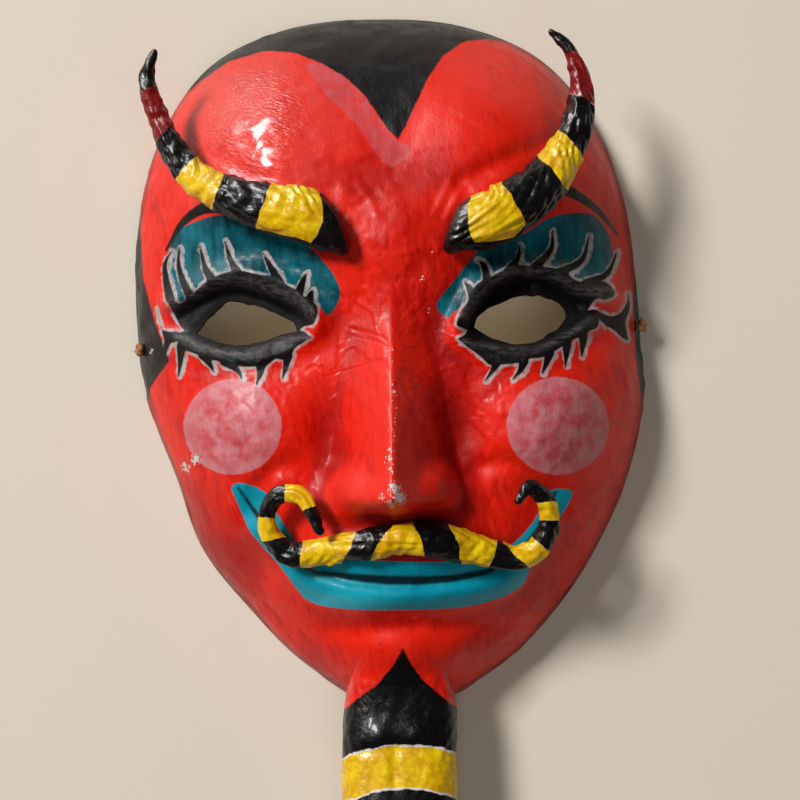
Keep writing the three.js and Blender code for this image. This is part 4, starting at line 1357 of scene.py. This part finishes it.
MOUSTACHE_JOINTS = [
    ((-38.1, -65.8), (-32.4, -64), 0.3), ((-45.4, -57.2), (-45.3, -63.1), 0.3),
    ((-55.9, -68.2), (-48.4, -68.6), 0.4), ((-56, -77.8), (-48.5, -77.3), 0.5),
    ((-38.6, -79.2), (-40, -89.8), -0.5), ((-17.1, -77.5), (-22.3, -88), 0.5),
    ((-1.2, -74.4), (-10.5, -87.6), -1.0), ((7.7, -72.9), (12.3, -86.7), 0.6),
    ((23.4, -76.3), (26.8, -87.8), 1.6), ((42.8, -82.1), (39, -92.4), 0.5),
    ((48, -85), (55.1, -92.2), -0.4), ((59.2, -81.9), (64.2, -86.2), -0.3),
    ((61.2, -73.3), (69.2, -73.9), 0.3), ((61, -66.2), (68.4, -65.8), 0.3),
]
MOUSTACHE_COLOURS = ["black", "yellow"] * 7 + ["black"]
MOUSTACHE_SIDES, MOUSTACHE_RINGS, MOUSTACHE_CRUMPLE = 84, 520, 1.45
moustache, along, path = roll(
    "moustache_rolled", MOUSTACHE, MOUSTACHE_SIDES, MOUSTACHE_RINGS, MOUSTACHE_CRUMPLE, seed=91,
)
band_fields(moustache, MOUSTACHE_JOINTS, along, path, MOUSTACHE_COLOURS, reach=8.0, wander=0.4)
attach(moustache, "root")
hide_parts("moustache")

# %% Goatee
GOATEE = [
    (0, -127, 20, 17, 17), (0, -138, 20, 21, 19.5), (0, -150, 22, 23, 17.5), (-1, -168, 25, 23.3, 16),
    (-1.5, -189, 27, 23.3, 16), (-2, -210, 31, 20, 14), (-3, -231, 37, 12, 9.5),
    (-3.5, -246, 43, 4, 3.5),
]
GOATEE_JOINTS = [
    ((-24.6, -170.2), (23.6, -169.8), -4.6), ((-24, -188.4), (22.5, -188.8), -5.0),
    ((-23, -208), (19, -208), -4.0), ((-16, -226), (11, -226), -2.5),
]
GOATEE_COLOURS = ["black", "yellow", "black", "red", "black"]
GOATEE_SIDES, GOATEE_RINGS, GOATEE_CRUMPLE, GOATEE_SQUARE = 200, 230, 0.55, 0.72
# The red shoulders of the chin end here on the goatee, whatever the painted outline does.
SHOULDER_END_Q = -158
# Swellings and dents of the wrapped paper: middle as seen, half-widths and rise.
GOATEE_DENTS = [
    (-9, -161, 7, 4.5, 1.3), (6, -160.5, 6, 4.5, 1.5), (-3.2, -175, 2.0, 10, -1.8),
    (-14, -180, 3, 9, -0.7), (12, -179, 9, 10, 0.7), (0, -167.5, 30, 2.4, -0.9), (-8, -197, 9, 7, 0.8),
    (9, -201, 7, 6, -0.8),
]


def settle_goatee(points, angle):
    """The wrap leaves soft swellings and dents down the front, and the top grows out of the chin."""
    p, q = as_seen(points)
    front = smooth_step(np.sin(angle), 0.1, 0.9)
    shifted = points.copy()
    shifted[:, 2] += front * sum(bell(p, q, *dent) for dent in GOATEE_DENTS)
    return grow_out_of_chin(shifted, angle)


goatee, along, path = roll(
    "goatee_rolled", GOATEE, GOATEE_SIDES, GOATEE_RINGS, GOATEE_CRUMPLE, seed=101,
    square=GOATEE_SQUARE, settle=settle_goatee,
)
band_fields(goatee, GOATEE_JOINTS, along, path, GOATEE_COLOURS, reach=16.0, wander=0.6)
goatee_p, goatee_q = as_seen(vertex_places(goatee))
shoulder = np.minimum(-area_distance(goatee_p, goatee_q, BEARD), goatee_q - SHOULDER_END_Q)
set_attribute(goatee, "shoulder", np.clip(shoulder, -FIELD_LIMIT, FIELD_LIMIT))
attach(goatee, "root")
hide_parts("goatee")

# %% [markdown]
# ## Paint, varnish and paper as materials
# Shader maths reads best as plain expressions, so a small class wraps a socket and adds Math nodes
# when it is multiplied or added. Everything else comes from one method that makes a node.

# %% A socket that can be multiplied and added
class Value:
    """A socket on which arithmetic adds Math nodes."""

    def __init__(self, finish, socket):
        self.finish = finish
        self.socket = socket

    def __add__(self, other):
        return self.finish.maths("ADD", self, other)

    __radd__ = __add__

    def __sub__(self, other):
        return self.finish.maths("SUBTRACT", self, other)

    def __rsub__(self, other):
        return self.finish.maths("SUBTRACT", other, self)

    def __mul__(self, other):
        return self.finish.maths("MULTIPLY", self, other)

    __rmul__ = __mul__

    def __truediv__(self, other):
        return self.finish.maths("DIVIDE", self, other)


print("a Value can be added, subtracted, multiplied and divided")


# %% A material under construction
class Finish:
    """A material under construction."""

    def __init__(self, name):
        self.material = bpy.data.materials.new(name)
        self.material.use_nodes = True
        self.tree = self.material.node_tree
        self.tree.nodes.clear()
        self.coordinates = Value(self, self.tree.nodes.new("ShaderNodeTexCoord").outputs["Object"])

    def node(self, kind, settings=None, output=0, **inputs):
        """Add a node: settings first, then a value or a link for each socket, whose name is
        written with _ for a space, or as in0, in1 for a socket by its number."""
        made = self.tree.nodes.new("ShaderNode" + kind)
        for key, value in (settings or {}).items():
            setattr(made, key, value)
        for key, value in inputs.items():
            numbered = key.startswith("in") and key[2:].isdigit()
            socket = made.inputs[int(key[2:])] if numbered else made.inputs[key.replace("_", " ")]
            if isinstance(value, Value):
                self.tree.links.new(value.socket, socket)
            else:
                socket.default_value = value
        return Value(self, made.outputs[output])

    def maths(self, operation, a, b):
        """One operation of a Math node on two numbers."""
        return self.node("Math", {"operation": operation}, in0=a, in1=b)

    def clamp(self, value):
        """The value, kept between 0 and 1."""
        return self.node("Clamp", in0=value)

    def field(self, name):
        """A vertex attribute as a number."""
        return self.node("Attribute", {"attribute_name": name}, output=2)

    def noise(self, size, detail=3.0, stretch=(1, 1, 1), roughness=0.55, tilt=0.0):
        """Noise from 0 to 1 whose features are `size` millimetres wide, times the stretch, along
        axes that are turned by `tilt` degrees about Z."""
        turned = (0.0, 0.0, math.radians(tilt))
        scale = [size * MM * share for share in stretch]
        moved = self.node(
            "Mapping", {"vector_type": "TEXTURE"}, in0=self.coordinates, in2=turned, in3=scale,
        )
        return self.node("TexNoise", Vector=moved, Scale=1.0, Detail=detail, Roughness=roughness)

    def swing(self, size, detail, by, roughness=0.55):
        """Noise that swings round nought instead of a half, times `by`."""
        return (self.noise(size, detail, (1, 1, 1), roughness) - 0.5) * by

    def creases(self, size, stretch=(1, 1, 1), tilt=0.0):
        """Sharp valleys where noise crosses its middle: the distance of the noise from a half."""
        swing = self.noise(size, 2.5, stretch, 0.5, tilt) * 2.0 - 1.0
        return self.node("Math", {"operation": "ABSOLUTE"}, in0=swing)

    def edge(self, distance, soft=0.5):
        """Mask that is 1 inside a painted outline and 0 outside, over `soft` millimetres."""
        return self.clamp(distance / soft + 0.5)

    def mix(self, share, below, above):
        """One colour over another."""
        return self.node("Mix", {"data_type": "RGBA"}, output=2, in0=share, in6=below, in7=above)

    def range(self, value, low, high, to_low=0.0, to_high=1.0):
        """The value carried from low..high to to_low..to_high, and kept inside."""
        return self.node("MapRange", in0=value, in1=low, in2=high, in3=to_low, in4=to_high)

    def finish(self, shader):
        """Send the shader to the surface."""
        output = self.tree.nodes.new("ShaderNodeOutputMaterial")
        self.tree.links.new(shader.socket, output.inputs["Surface"])


print("ways to add nodes:", [name for name in vars(Finish) if not name.startswith("_")])


# %% Colours
def rgb(red, green, blue):
    """A linear colour from one written as it looks on a screen, 0 to 255."""
    def linear(level):
        level /= 255
        return level / 12.92 if level <= 0.04045 else ((level + 0.055) / 1.055) ** 2.4
    return (linear(red), linear(green), linear(blue), 1.0)


RED = rgb(234, 34, 14)
# RED_DEEP and RED_SHADE also carry painted shade on the face, through red_coat.
RED_DEEP = rgb(202, 18, 8)
RED_SHADE = rgb(120, 10, 8)
# RED_PALE is painted highlight and painted light, with random paler patches.
RED_PALE = rgb(234, 82, 74)
PAINT_BLACK = rgb(11, 10, 11)
LINER_BLACK = rgb(9, 8, 9)
BLACK_WORN = rgb(42, 38, 36)
# The grey of the lid crests is painted sheen.
LID_SHEEN_GREY = rgb(100, 95, 97)
TEAL_DARK = rgb(0, 46, 56)
TEAL_LIGHT = rgb(6, 108, 124)
LIP_TEAL = rgb(0, 146, 170)
LIP_TEAL_LIGHT = rgb(30, 186, 210)
PINK = rgb(208, 134, 142)
PINK_DEEP = rgb(192, 86, 98)
PINK_DUSTY = rgb(200, 90, 98)
OUTLINE_GREY = rgb(176, 170, 170)
GROUND_WHITE = rgb(222, 216, 210)
YELLOW = rgb(246, 210, 12)
YELLOW_DEEP = rgb(214, 160, 4)
YELLOW_DIRT = rgb(120, 84, 20)
HORN_RED = rgb(138, 14, 16)
HORN_RED_DEEP = rgb(112, 12, 16)
KRAFT = rgb(176, 150, 112)
KRAFT_GREY = rgb(158, 146, 128)
KRAFT_DARK = rgb(110, 88, 60)
TWINE_BROWN = rgb(150, 92, 52)
TWINE_PALE = rgb(190, 138, 92)
TWINE_DARK = rgb(86, 44, 26)
FLOOR_PALE = rgb(226, 216, 202)
print("red of the face:", [round(value, 3) for value in RED[:3]])

# %% Coats of paint that several pieces share
def red_coat(paint, strip, deeper):
    """Scarlet in two brushed coats: the lower one, deeper, shows in patches and between strokes.
    The third argument shifts both towards RED_SHADE: on the face it is painted shade where high
    and painted light below nought, and on the goatee it is random tone."""
    strokes = paint.noise(2.4, 4.0, (1.0, 5.0, 1.6), 0.65, 12)
    share = paint.noise(24, 3.0) + (strokes - 0.5) + strip * 0.05 - deeper * 0.3
    coats = paint.mix(paint.range(share, 0.3, 0.56), RED_DEEP, RED)
    return paint.mix(paint.range(deeper + (strokes - 0.5) * 0.5, 0.15, 1.1, 0.0, 0.7), coats, RED_SHADE)


def black_coat(paint):
    """Black enamel, dulled to a brownish grey along the strokes of a dry brush."""
    strokes = paint.noise(1.6, 4.0, (1.0, 6.0, 2.0), 0.65, 20)
    share = paint.range(strokes + paint.swing(14, 2.0, 0.5), 0.68, 1.0, 0.0, 0.26)
    return paint.mix(share, PAINT_BLACK, BLACK_WORN)


print("two coats that several pieces share: red and black")

# %% The face in red, pink and teal
face = Finish("varnished_face_paint")
wobble = face.swing(2.6, 2.0, 1.5)
brush = face.noise(3.2, 4.0, (1.0, 4.5, 1.6), 0.65)
fine = face.noise(1.1, 4.0)
grit = face.noise(0.45, 2.0)
mottle = face.noise(6, 5.0, (1, 1, 1), 0.62)
pale = face.field("pale")
# The field deeper brings painted shade, and painted light where it is below nought.
red = red_coat(face, face.field("strip_tone"), face.field("deeper"))
# RED_PALE where pale lies is painted highlight and painted light; the noise adds random paler patches.
red = face.mix(face.clamp(pale * 0.5 + (face.noise(9, 4.0) - 0.56) * 0.5), red, RED_PALE)
cheek_edge = face.field("cheek") + wobble * 0.7
pink = face.mix(face.range(mottle + (brush - 0.5) * 0.5, 0.38, 0.62), PINK_DEEP, PINK)
pink = face.mix(face.range(cheek_edge, 0.4, 6.0, 0.7, 0.0), pink, PINK)
thin_pink = face.range(mottle * 0.5 + fine * 0.5, 0.36, 0.6, 0.66, 0.96)
colour = face.mix(face.edge(cheek_edge, 0.7) * thin_pink, red, pink)
thin_veil = face.range(mottle * 0.6 + brush * 0.4, 0.36, 0.62, 0.2, 0.85)
veil = face.edge(face.field("veil") + wobble * 1.1, 1.1) * thin_veil
colour = face.mix(veil, colour, PINK_DUSTY)
teal = face.mix(face.range(brush * 0.5 + face.noise(15, 3.0) * 0.5, 0.36, 0.62), TEAL_DARK, TEAL_LIGHT)
colour = face.mix(face.edge(face.field("eyeshadow") + wobble * 0.6), colour, teal)
# Lighter teal in a band on the lower lip, and in random patches.
lip_lighter_share = face.clamp(face.field("lighter_lip") * 1.2 + face.swing(3.5, 4.0, 0.6))
lip = face.mix(lip_lighter_share, LIP_TEAL, LIP_TEAL_LIGHT)
colour = face.mix(face.edge(face.field("lips") + wobble * 0.4), colour, lip)
print("nodes for red, pink and teal:", len(face.tree.nodes))

# %% Outlines and black paint on the face
depth = face.field("depth")
surface = 1 - face.edge(depth - 0.4, 0.3)
hole_edge = face.field("hole_edge")
liner = face.field("liner") + wobble * 0.28
outline = face.edge(face.field("halo") + 1.1 + face.swing(3.4, 2.5, 2.8), 0.6) * surface
outline = outline * face.range(face.noise(3.0, 3.0), 0.3, 0.54, 0.25, 1.0)
colour = face.mix(outline, colour, OUTLINE_GREY)
mouth = face.edge(face.field("mouth") + wobble * 0.5, 1.0) * 0.93
blacks = mouth
for name, ragged, soft in (("hair", 0.6, 0.6), ("beard", 0.9, 0.5), ("brow_tail", 0.3, 0.5)):
    mask = face.edge(face.field(name) + wobble * ragged, soft)
    blacks = face.maths("MAXIMUM", blacks, mask)
colour = face.mix(blacks, colour, black_coat(face))
lined = face.edge(liner, 0.45)
# The grey on the lid crests is painted sheen, broken into dry-brush streaks.
dry_streaks = face.noise(1.3, 4.0, (4.5, 1.0, 1.5), 0.7)
lid = face.field("lid") * surface
liner_and_sheen = face.mix(lid * face.range(dry_streaks, 0.4, 0.64, 0.05, 0.9), LINER_BLACK, LID_SHEEN_GREY)
colour = face.mix(lined, colour, liner_and_sheen)
print("nodes with outlines and black:", len(face.tree.nodes))

# %% White ground in the chips, and bare paper on the inside
chip_break = face.swing(1.2, 3.5, 9.0, 0.6) + wobble
chip = face.edge(face.field("chip") + chip_break - 1.2, 0.35)
colour = face.mix(chip, colour, GROUND_WHITE)
paper_tone = face.field("strip_tone") + face.swing(12, 4.0, 1.5)
paper = face.mix(face.range(paper_tone, -0.8, 0.8), KRAFT, KRAFT_GREY)
paper = face.mix(face.range(fine, 0.45, 0.75, 0.0, 0.35), paper, KRAFT_DARK)
bare = face.edge(depth + face.swing(3.0, 3.0, 0.5) - 0.62, 0.12)
colour = face.mix(bare, colour, paper)
print("nodes with chips and bare paper:", len(face.tree.nodes))

# %% Varnish on the face: roughness, coat and small relief
# Bare ground and the cut rims of the holes have no varnish on them.
MATT_ROUGHNESS = 0.82
shine = face.field("shine")
rough = face.range(brush, 0.3, 0.7, 0.34, 0.5) + fine * 0.06 - blacks * 0.04 + lined * 0.12 - shine * 0.25
matt_part = face.maths("MAXIMUM", chip, 1 - surface * (1 - hole_edge))
rough = face.node("Mix", in0=matt_part, in2=rough, in3=MATT_ROUGHNESS)
crinkle = face.creases(1.9, (3.4, 1.0, 1.6), -24) * (0.14 + pale * 0.5 + shine * 3.0)
crinkle = crinkle * (1 - hole_edge) + face.creases(4.5, (1.0, 1.8, 1.0), 30) * 0.22
height = brush * 0.55 + fine * 0.36 + grit * 0.14 + crinkle - chip * 0.45
height = height + lined * surface * (1 - hole_edge) * face.noise(2.0, 4.0, (2.2, 1.0, 1.0), 0.6) * 0.9
normal = face.node("Bump", Strength=0.6, Distance=0.0005, Height=height)
coat = surface * (1 - hole_edge) * (1 - lined * 0.75) * (0.07 + shine * 0.68)
shader = face.node(
    "BsdfPrincipled", Base_Color=colour, Roughness=rough, Normal=normal,
    Specular_IOR_Level=0.22, Coat_Weight=coat, Coat_Roughness=0.14,
)
face.finish(shader)
shell.data.materials.clear()
shell.data.materials.append(face.material)
print("nodes in the whole face paint:", len(face.tree.nodes))

# %% [markdown]
# ## Striped rolls
# The rolls were dipped in white ground before the bands were painted, so a thin white line is left
# at many joints. Black and yellow are thick glossy enamel. The top of the goatee belongs to the
# chin, so its two shoulders are painted with the red of the face.


# %% Painted rolls
def striped_finish(name, primer_width, shoulders):
    """Black enamel with yellow and red bands, and primer showing at the joints between them."""
    paint = Finish(name)
    grain = paint.noise(2.2, 4.0, (1, 1, 1), 0.6)
    tiny = paint.noise(0.8, 3.0)
    yellow = paint.mix(paint.range(paint.noise(7, 3.0) * 0.6 + grain * 0.4, 0.4, 0.62), YELLOW_DEEP, YELLOW)
    yellow = paint.mix(paint.range(tiny, 0.62, 0.8, 0.0, 0.22), yellow, YELLOW_DIRT)
    red = paint.mix(paint.range(grain, 0.4, 0.62), HORN_RED_DEEP, HORN_RED)
    shade = paint.mix(paint.edge(paint.field("yellow"), 0.3), black_coat(paint), yellow)
    shade = paint.mix(paint.edge(paint.field("red"), 0.3), shade, red)
    uneven = paint.swing(2.6, 2.0, 1.1)
    primer = paint.clamp((primer_width + uneven - paint.field("joint")) * 3.0)
    shade = paint.mix(primer, shade, GROUND_WHITE)
    if shoulders:
        wobble = paint.swing(2.6, 2.0, 1.5)
        mask = paint.edge(paint.field("shoulder") - wobble * 0.9, 0.5)
        shade = paint.mix(mask, shade, red_coat(paint, 0.0, paint.noise(12, 3.0) - 0.5))
    rough = paint.range(grain, 0.3, 0.7, 0.28, 0.48)
    height = grain * 0.5 + tiny * 0.3 + primer * 0.15 + paint.creases(3.2, (1, 1.8, 1), 40) * 0.7
    normal = paint.node("Bump", Strength=0.6, Distance=0.0006, Height=height)
    shader = paint.node(
        "BsdfPrincipled", Base_Color=shade, Roughness=rough, Normal=normal,
        Specular_IOR_Level=0.26, Coat_Weight=0.2, Coat_Roughness=0.08,
    )
    paint.finish(shader)
    return paint.material


# Half-width of the primer line at a joint, before it wanders.
PRIMER_LINE, GOATEE_PRIMER_LINE = 0.12, 0.62
enamel = striped_finish("striped_enamel", PRIMER_LINE, False)
for piece in (*horns, moustache):
    piece.data.materials.append(enamel)
goatee.data.materials.append(striped_finish("striped_beard_enamel", GOATEE_PRIMER_LINE, True))
print("rolls in enamel:", len(horns) + 2)

# %% Twine
fibre = Finish("brown_twine")
strand = fibre.noise(0.5, 4.0, (1, 1, 1), 0.7)
shade = fibre.mix(fibre.range(strand, 0.35, 0.7), TWINE_BROWN, TWINE_PALE)
shade = fibre.mix(fibre.range(fibre.noise(2.5, 2.0), 0.5, 0.75, 0.0, 0.5), shade, TWINE_DARK)
normal = fibre.node("Bump", Strength=0.7, Distance=0.0003, Height=strand)
fibre.finish(fibre.node("BsdfPrincipled", Base_Color=shade, Roughness=0.85, Normal=normal))
for piece in (twine, *knot_pieces):
    piece.data.materials.append(fibre.material)
print("pieces of twine:", 1 + len(knot_pieces))

# %% [markdown]
# ## Floor and light
# The mask lies on a plain pale floor. One soft light from the upper left shapes the face and leaves
# a shadow to the right and below, and a weak fill keeps the shaded side readable.

# %% Floor
FLOOR_HALF = 6.0
floor_mesh = bpy.data.meshes.new("floor")
corners = [(x * FLOOR_HALF, y * FLOOR_HALF, 0) for x, y in ((-1, -1), (1, -1), (1, 1), (-1, 1))]
floor_mesh.from_pydata(corners, [], [(0, 1, 2, 3)])
floor = bpy.data.objects.new("floor", floor_mesh)
bpy.context.scene.collection.objects.link(floor)
matt = Finish("pale_floor")
matt.finish(matt.node("BsdfPrincipled", Base_Color=FLOOR_PALE, Roughness=0.9))
floor_mesh.materials.append(matt.material)
floor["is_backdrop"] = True
print("floor, m across:", 2 * FLOOR_HALF)

# %% Lights
# Metres, as the light objects are. The middle of the mask is where most of them aim.
MASK_MIDDLE = (0, 0.03, 0.03)


def soft_light(name, place, power, size, colour, lights=True, shines=True, aim=MASK_MIDDLE):
    """Square area light that looks at its aim. One that only shines is seen in the varnish but
    lights nothing, and one that only lights leaves the varnish without haze."""
    data = bpy.data.lights.new(name, "AREA")
    data.energy = power
    data.size = size
    data.color = colour
    light = bpy.data.objects.new(name, data)
    bpy.context.scene.collection.objects.link(light)
    light.location = place
    light.rotation_euler = (Vector(aim) - Vector(place)).to_track_quat("-Z", "Y").to_euler()
    light.visible_diffuse = lights
    light.visible_glossy = shines


soft_light("key", (-2.25, 1.72, 2.95), 160, 0.9, (1.0, 0.98, 0.95))
soft_light("window", (-1.0, 1.42, 0.6), 46, 0.75, (1.0, 0.98, 0.97), lights=False)
soft_light("fill", (0.3, -0.9, 2.4), 12, 1.5, (1.0, 0.97, 0.92), shines=False)
# The lamp in the hollow looks straight down, at the floor that shows through the eye holes.
soft_light("hollow_glow", (0.0, 0.05, 0.045), 0.014, 0.12, (1.0, 0.84, 0.55), aim=(0.0, 0.05, 0.0))
world = bpy.data.worlds.new("studio")
bpy.context.scene.world = world
world.use_nodes = True
world.node_tree.nodes["Background"].inputs[0].default_value = (1.0, 0.92, 0.8, 1)
world.node_tree.nodes["Background"].inputs[1].default_value = 0.03
bpy.context.scene.view_settings.view_transform = "Standard"
bpy.context.scene.view_settings.look = "None"
print("lights:", [lamp.name for lamp in bpy.data.lights])

# %% [markdown]
# ## The two boxes
# The packed model's box and the dressed mask's box are both printed, in millimetres. The
# dressed mask has to stay inside the packed model's box.

# %% The two boxes
scene_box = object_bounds()
for label, box in (("packed", cad_box), ("dressed", scene_box)):
    print(label, [[round(value / MM, 1) for value in corner] for corner in box])
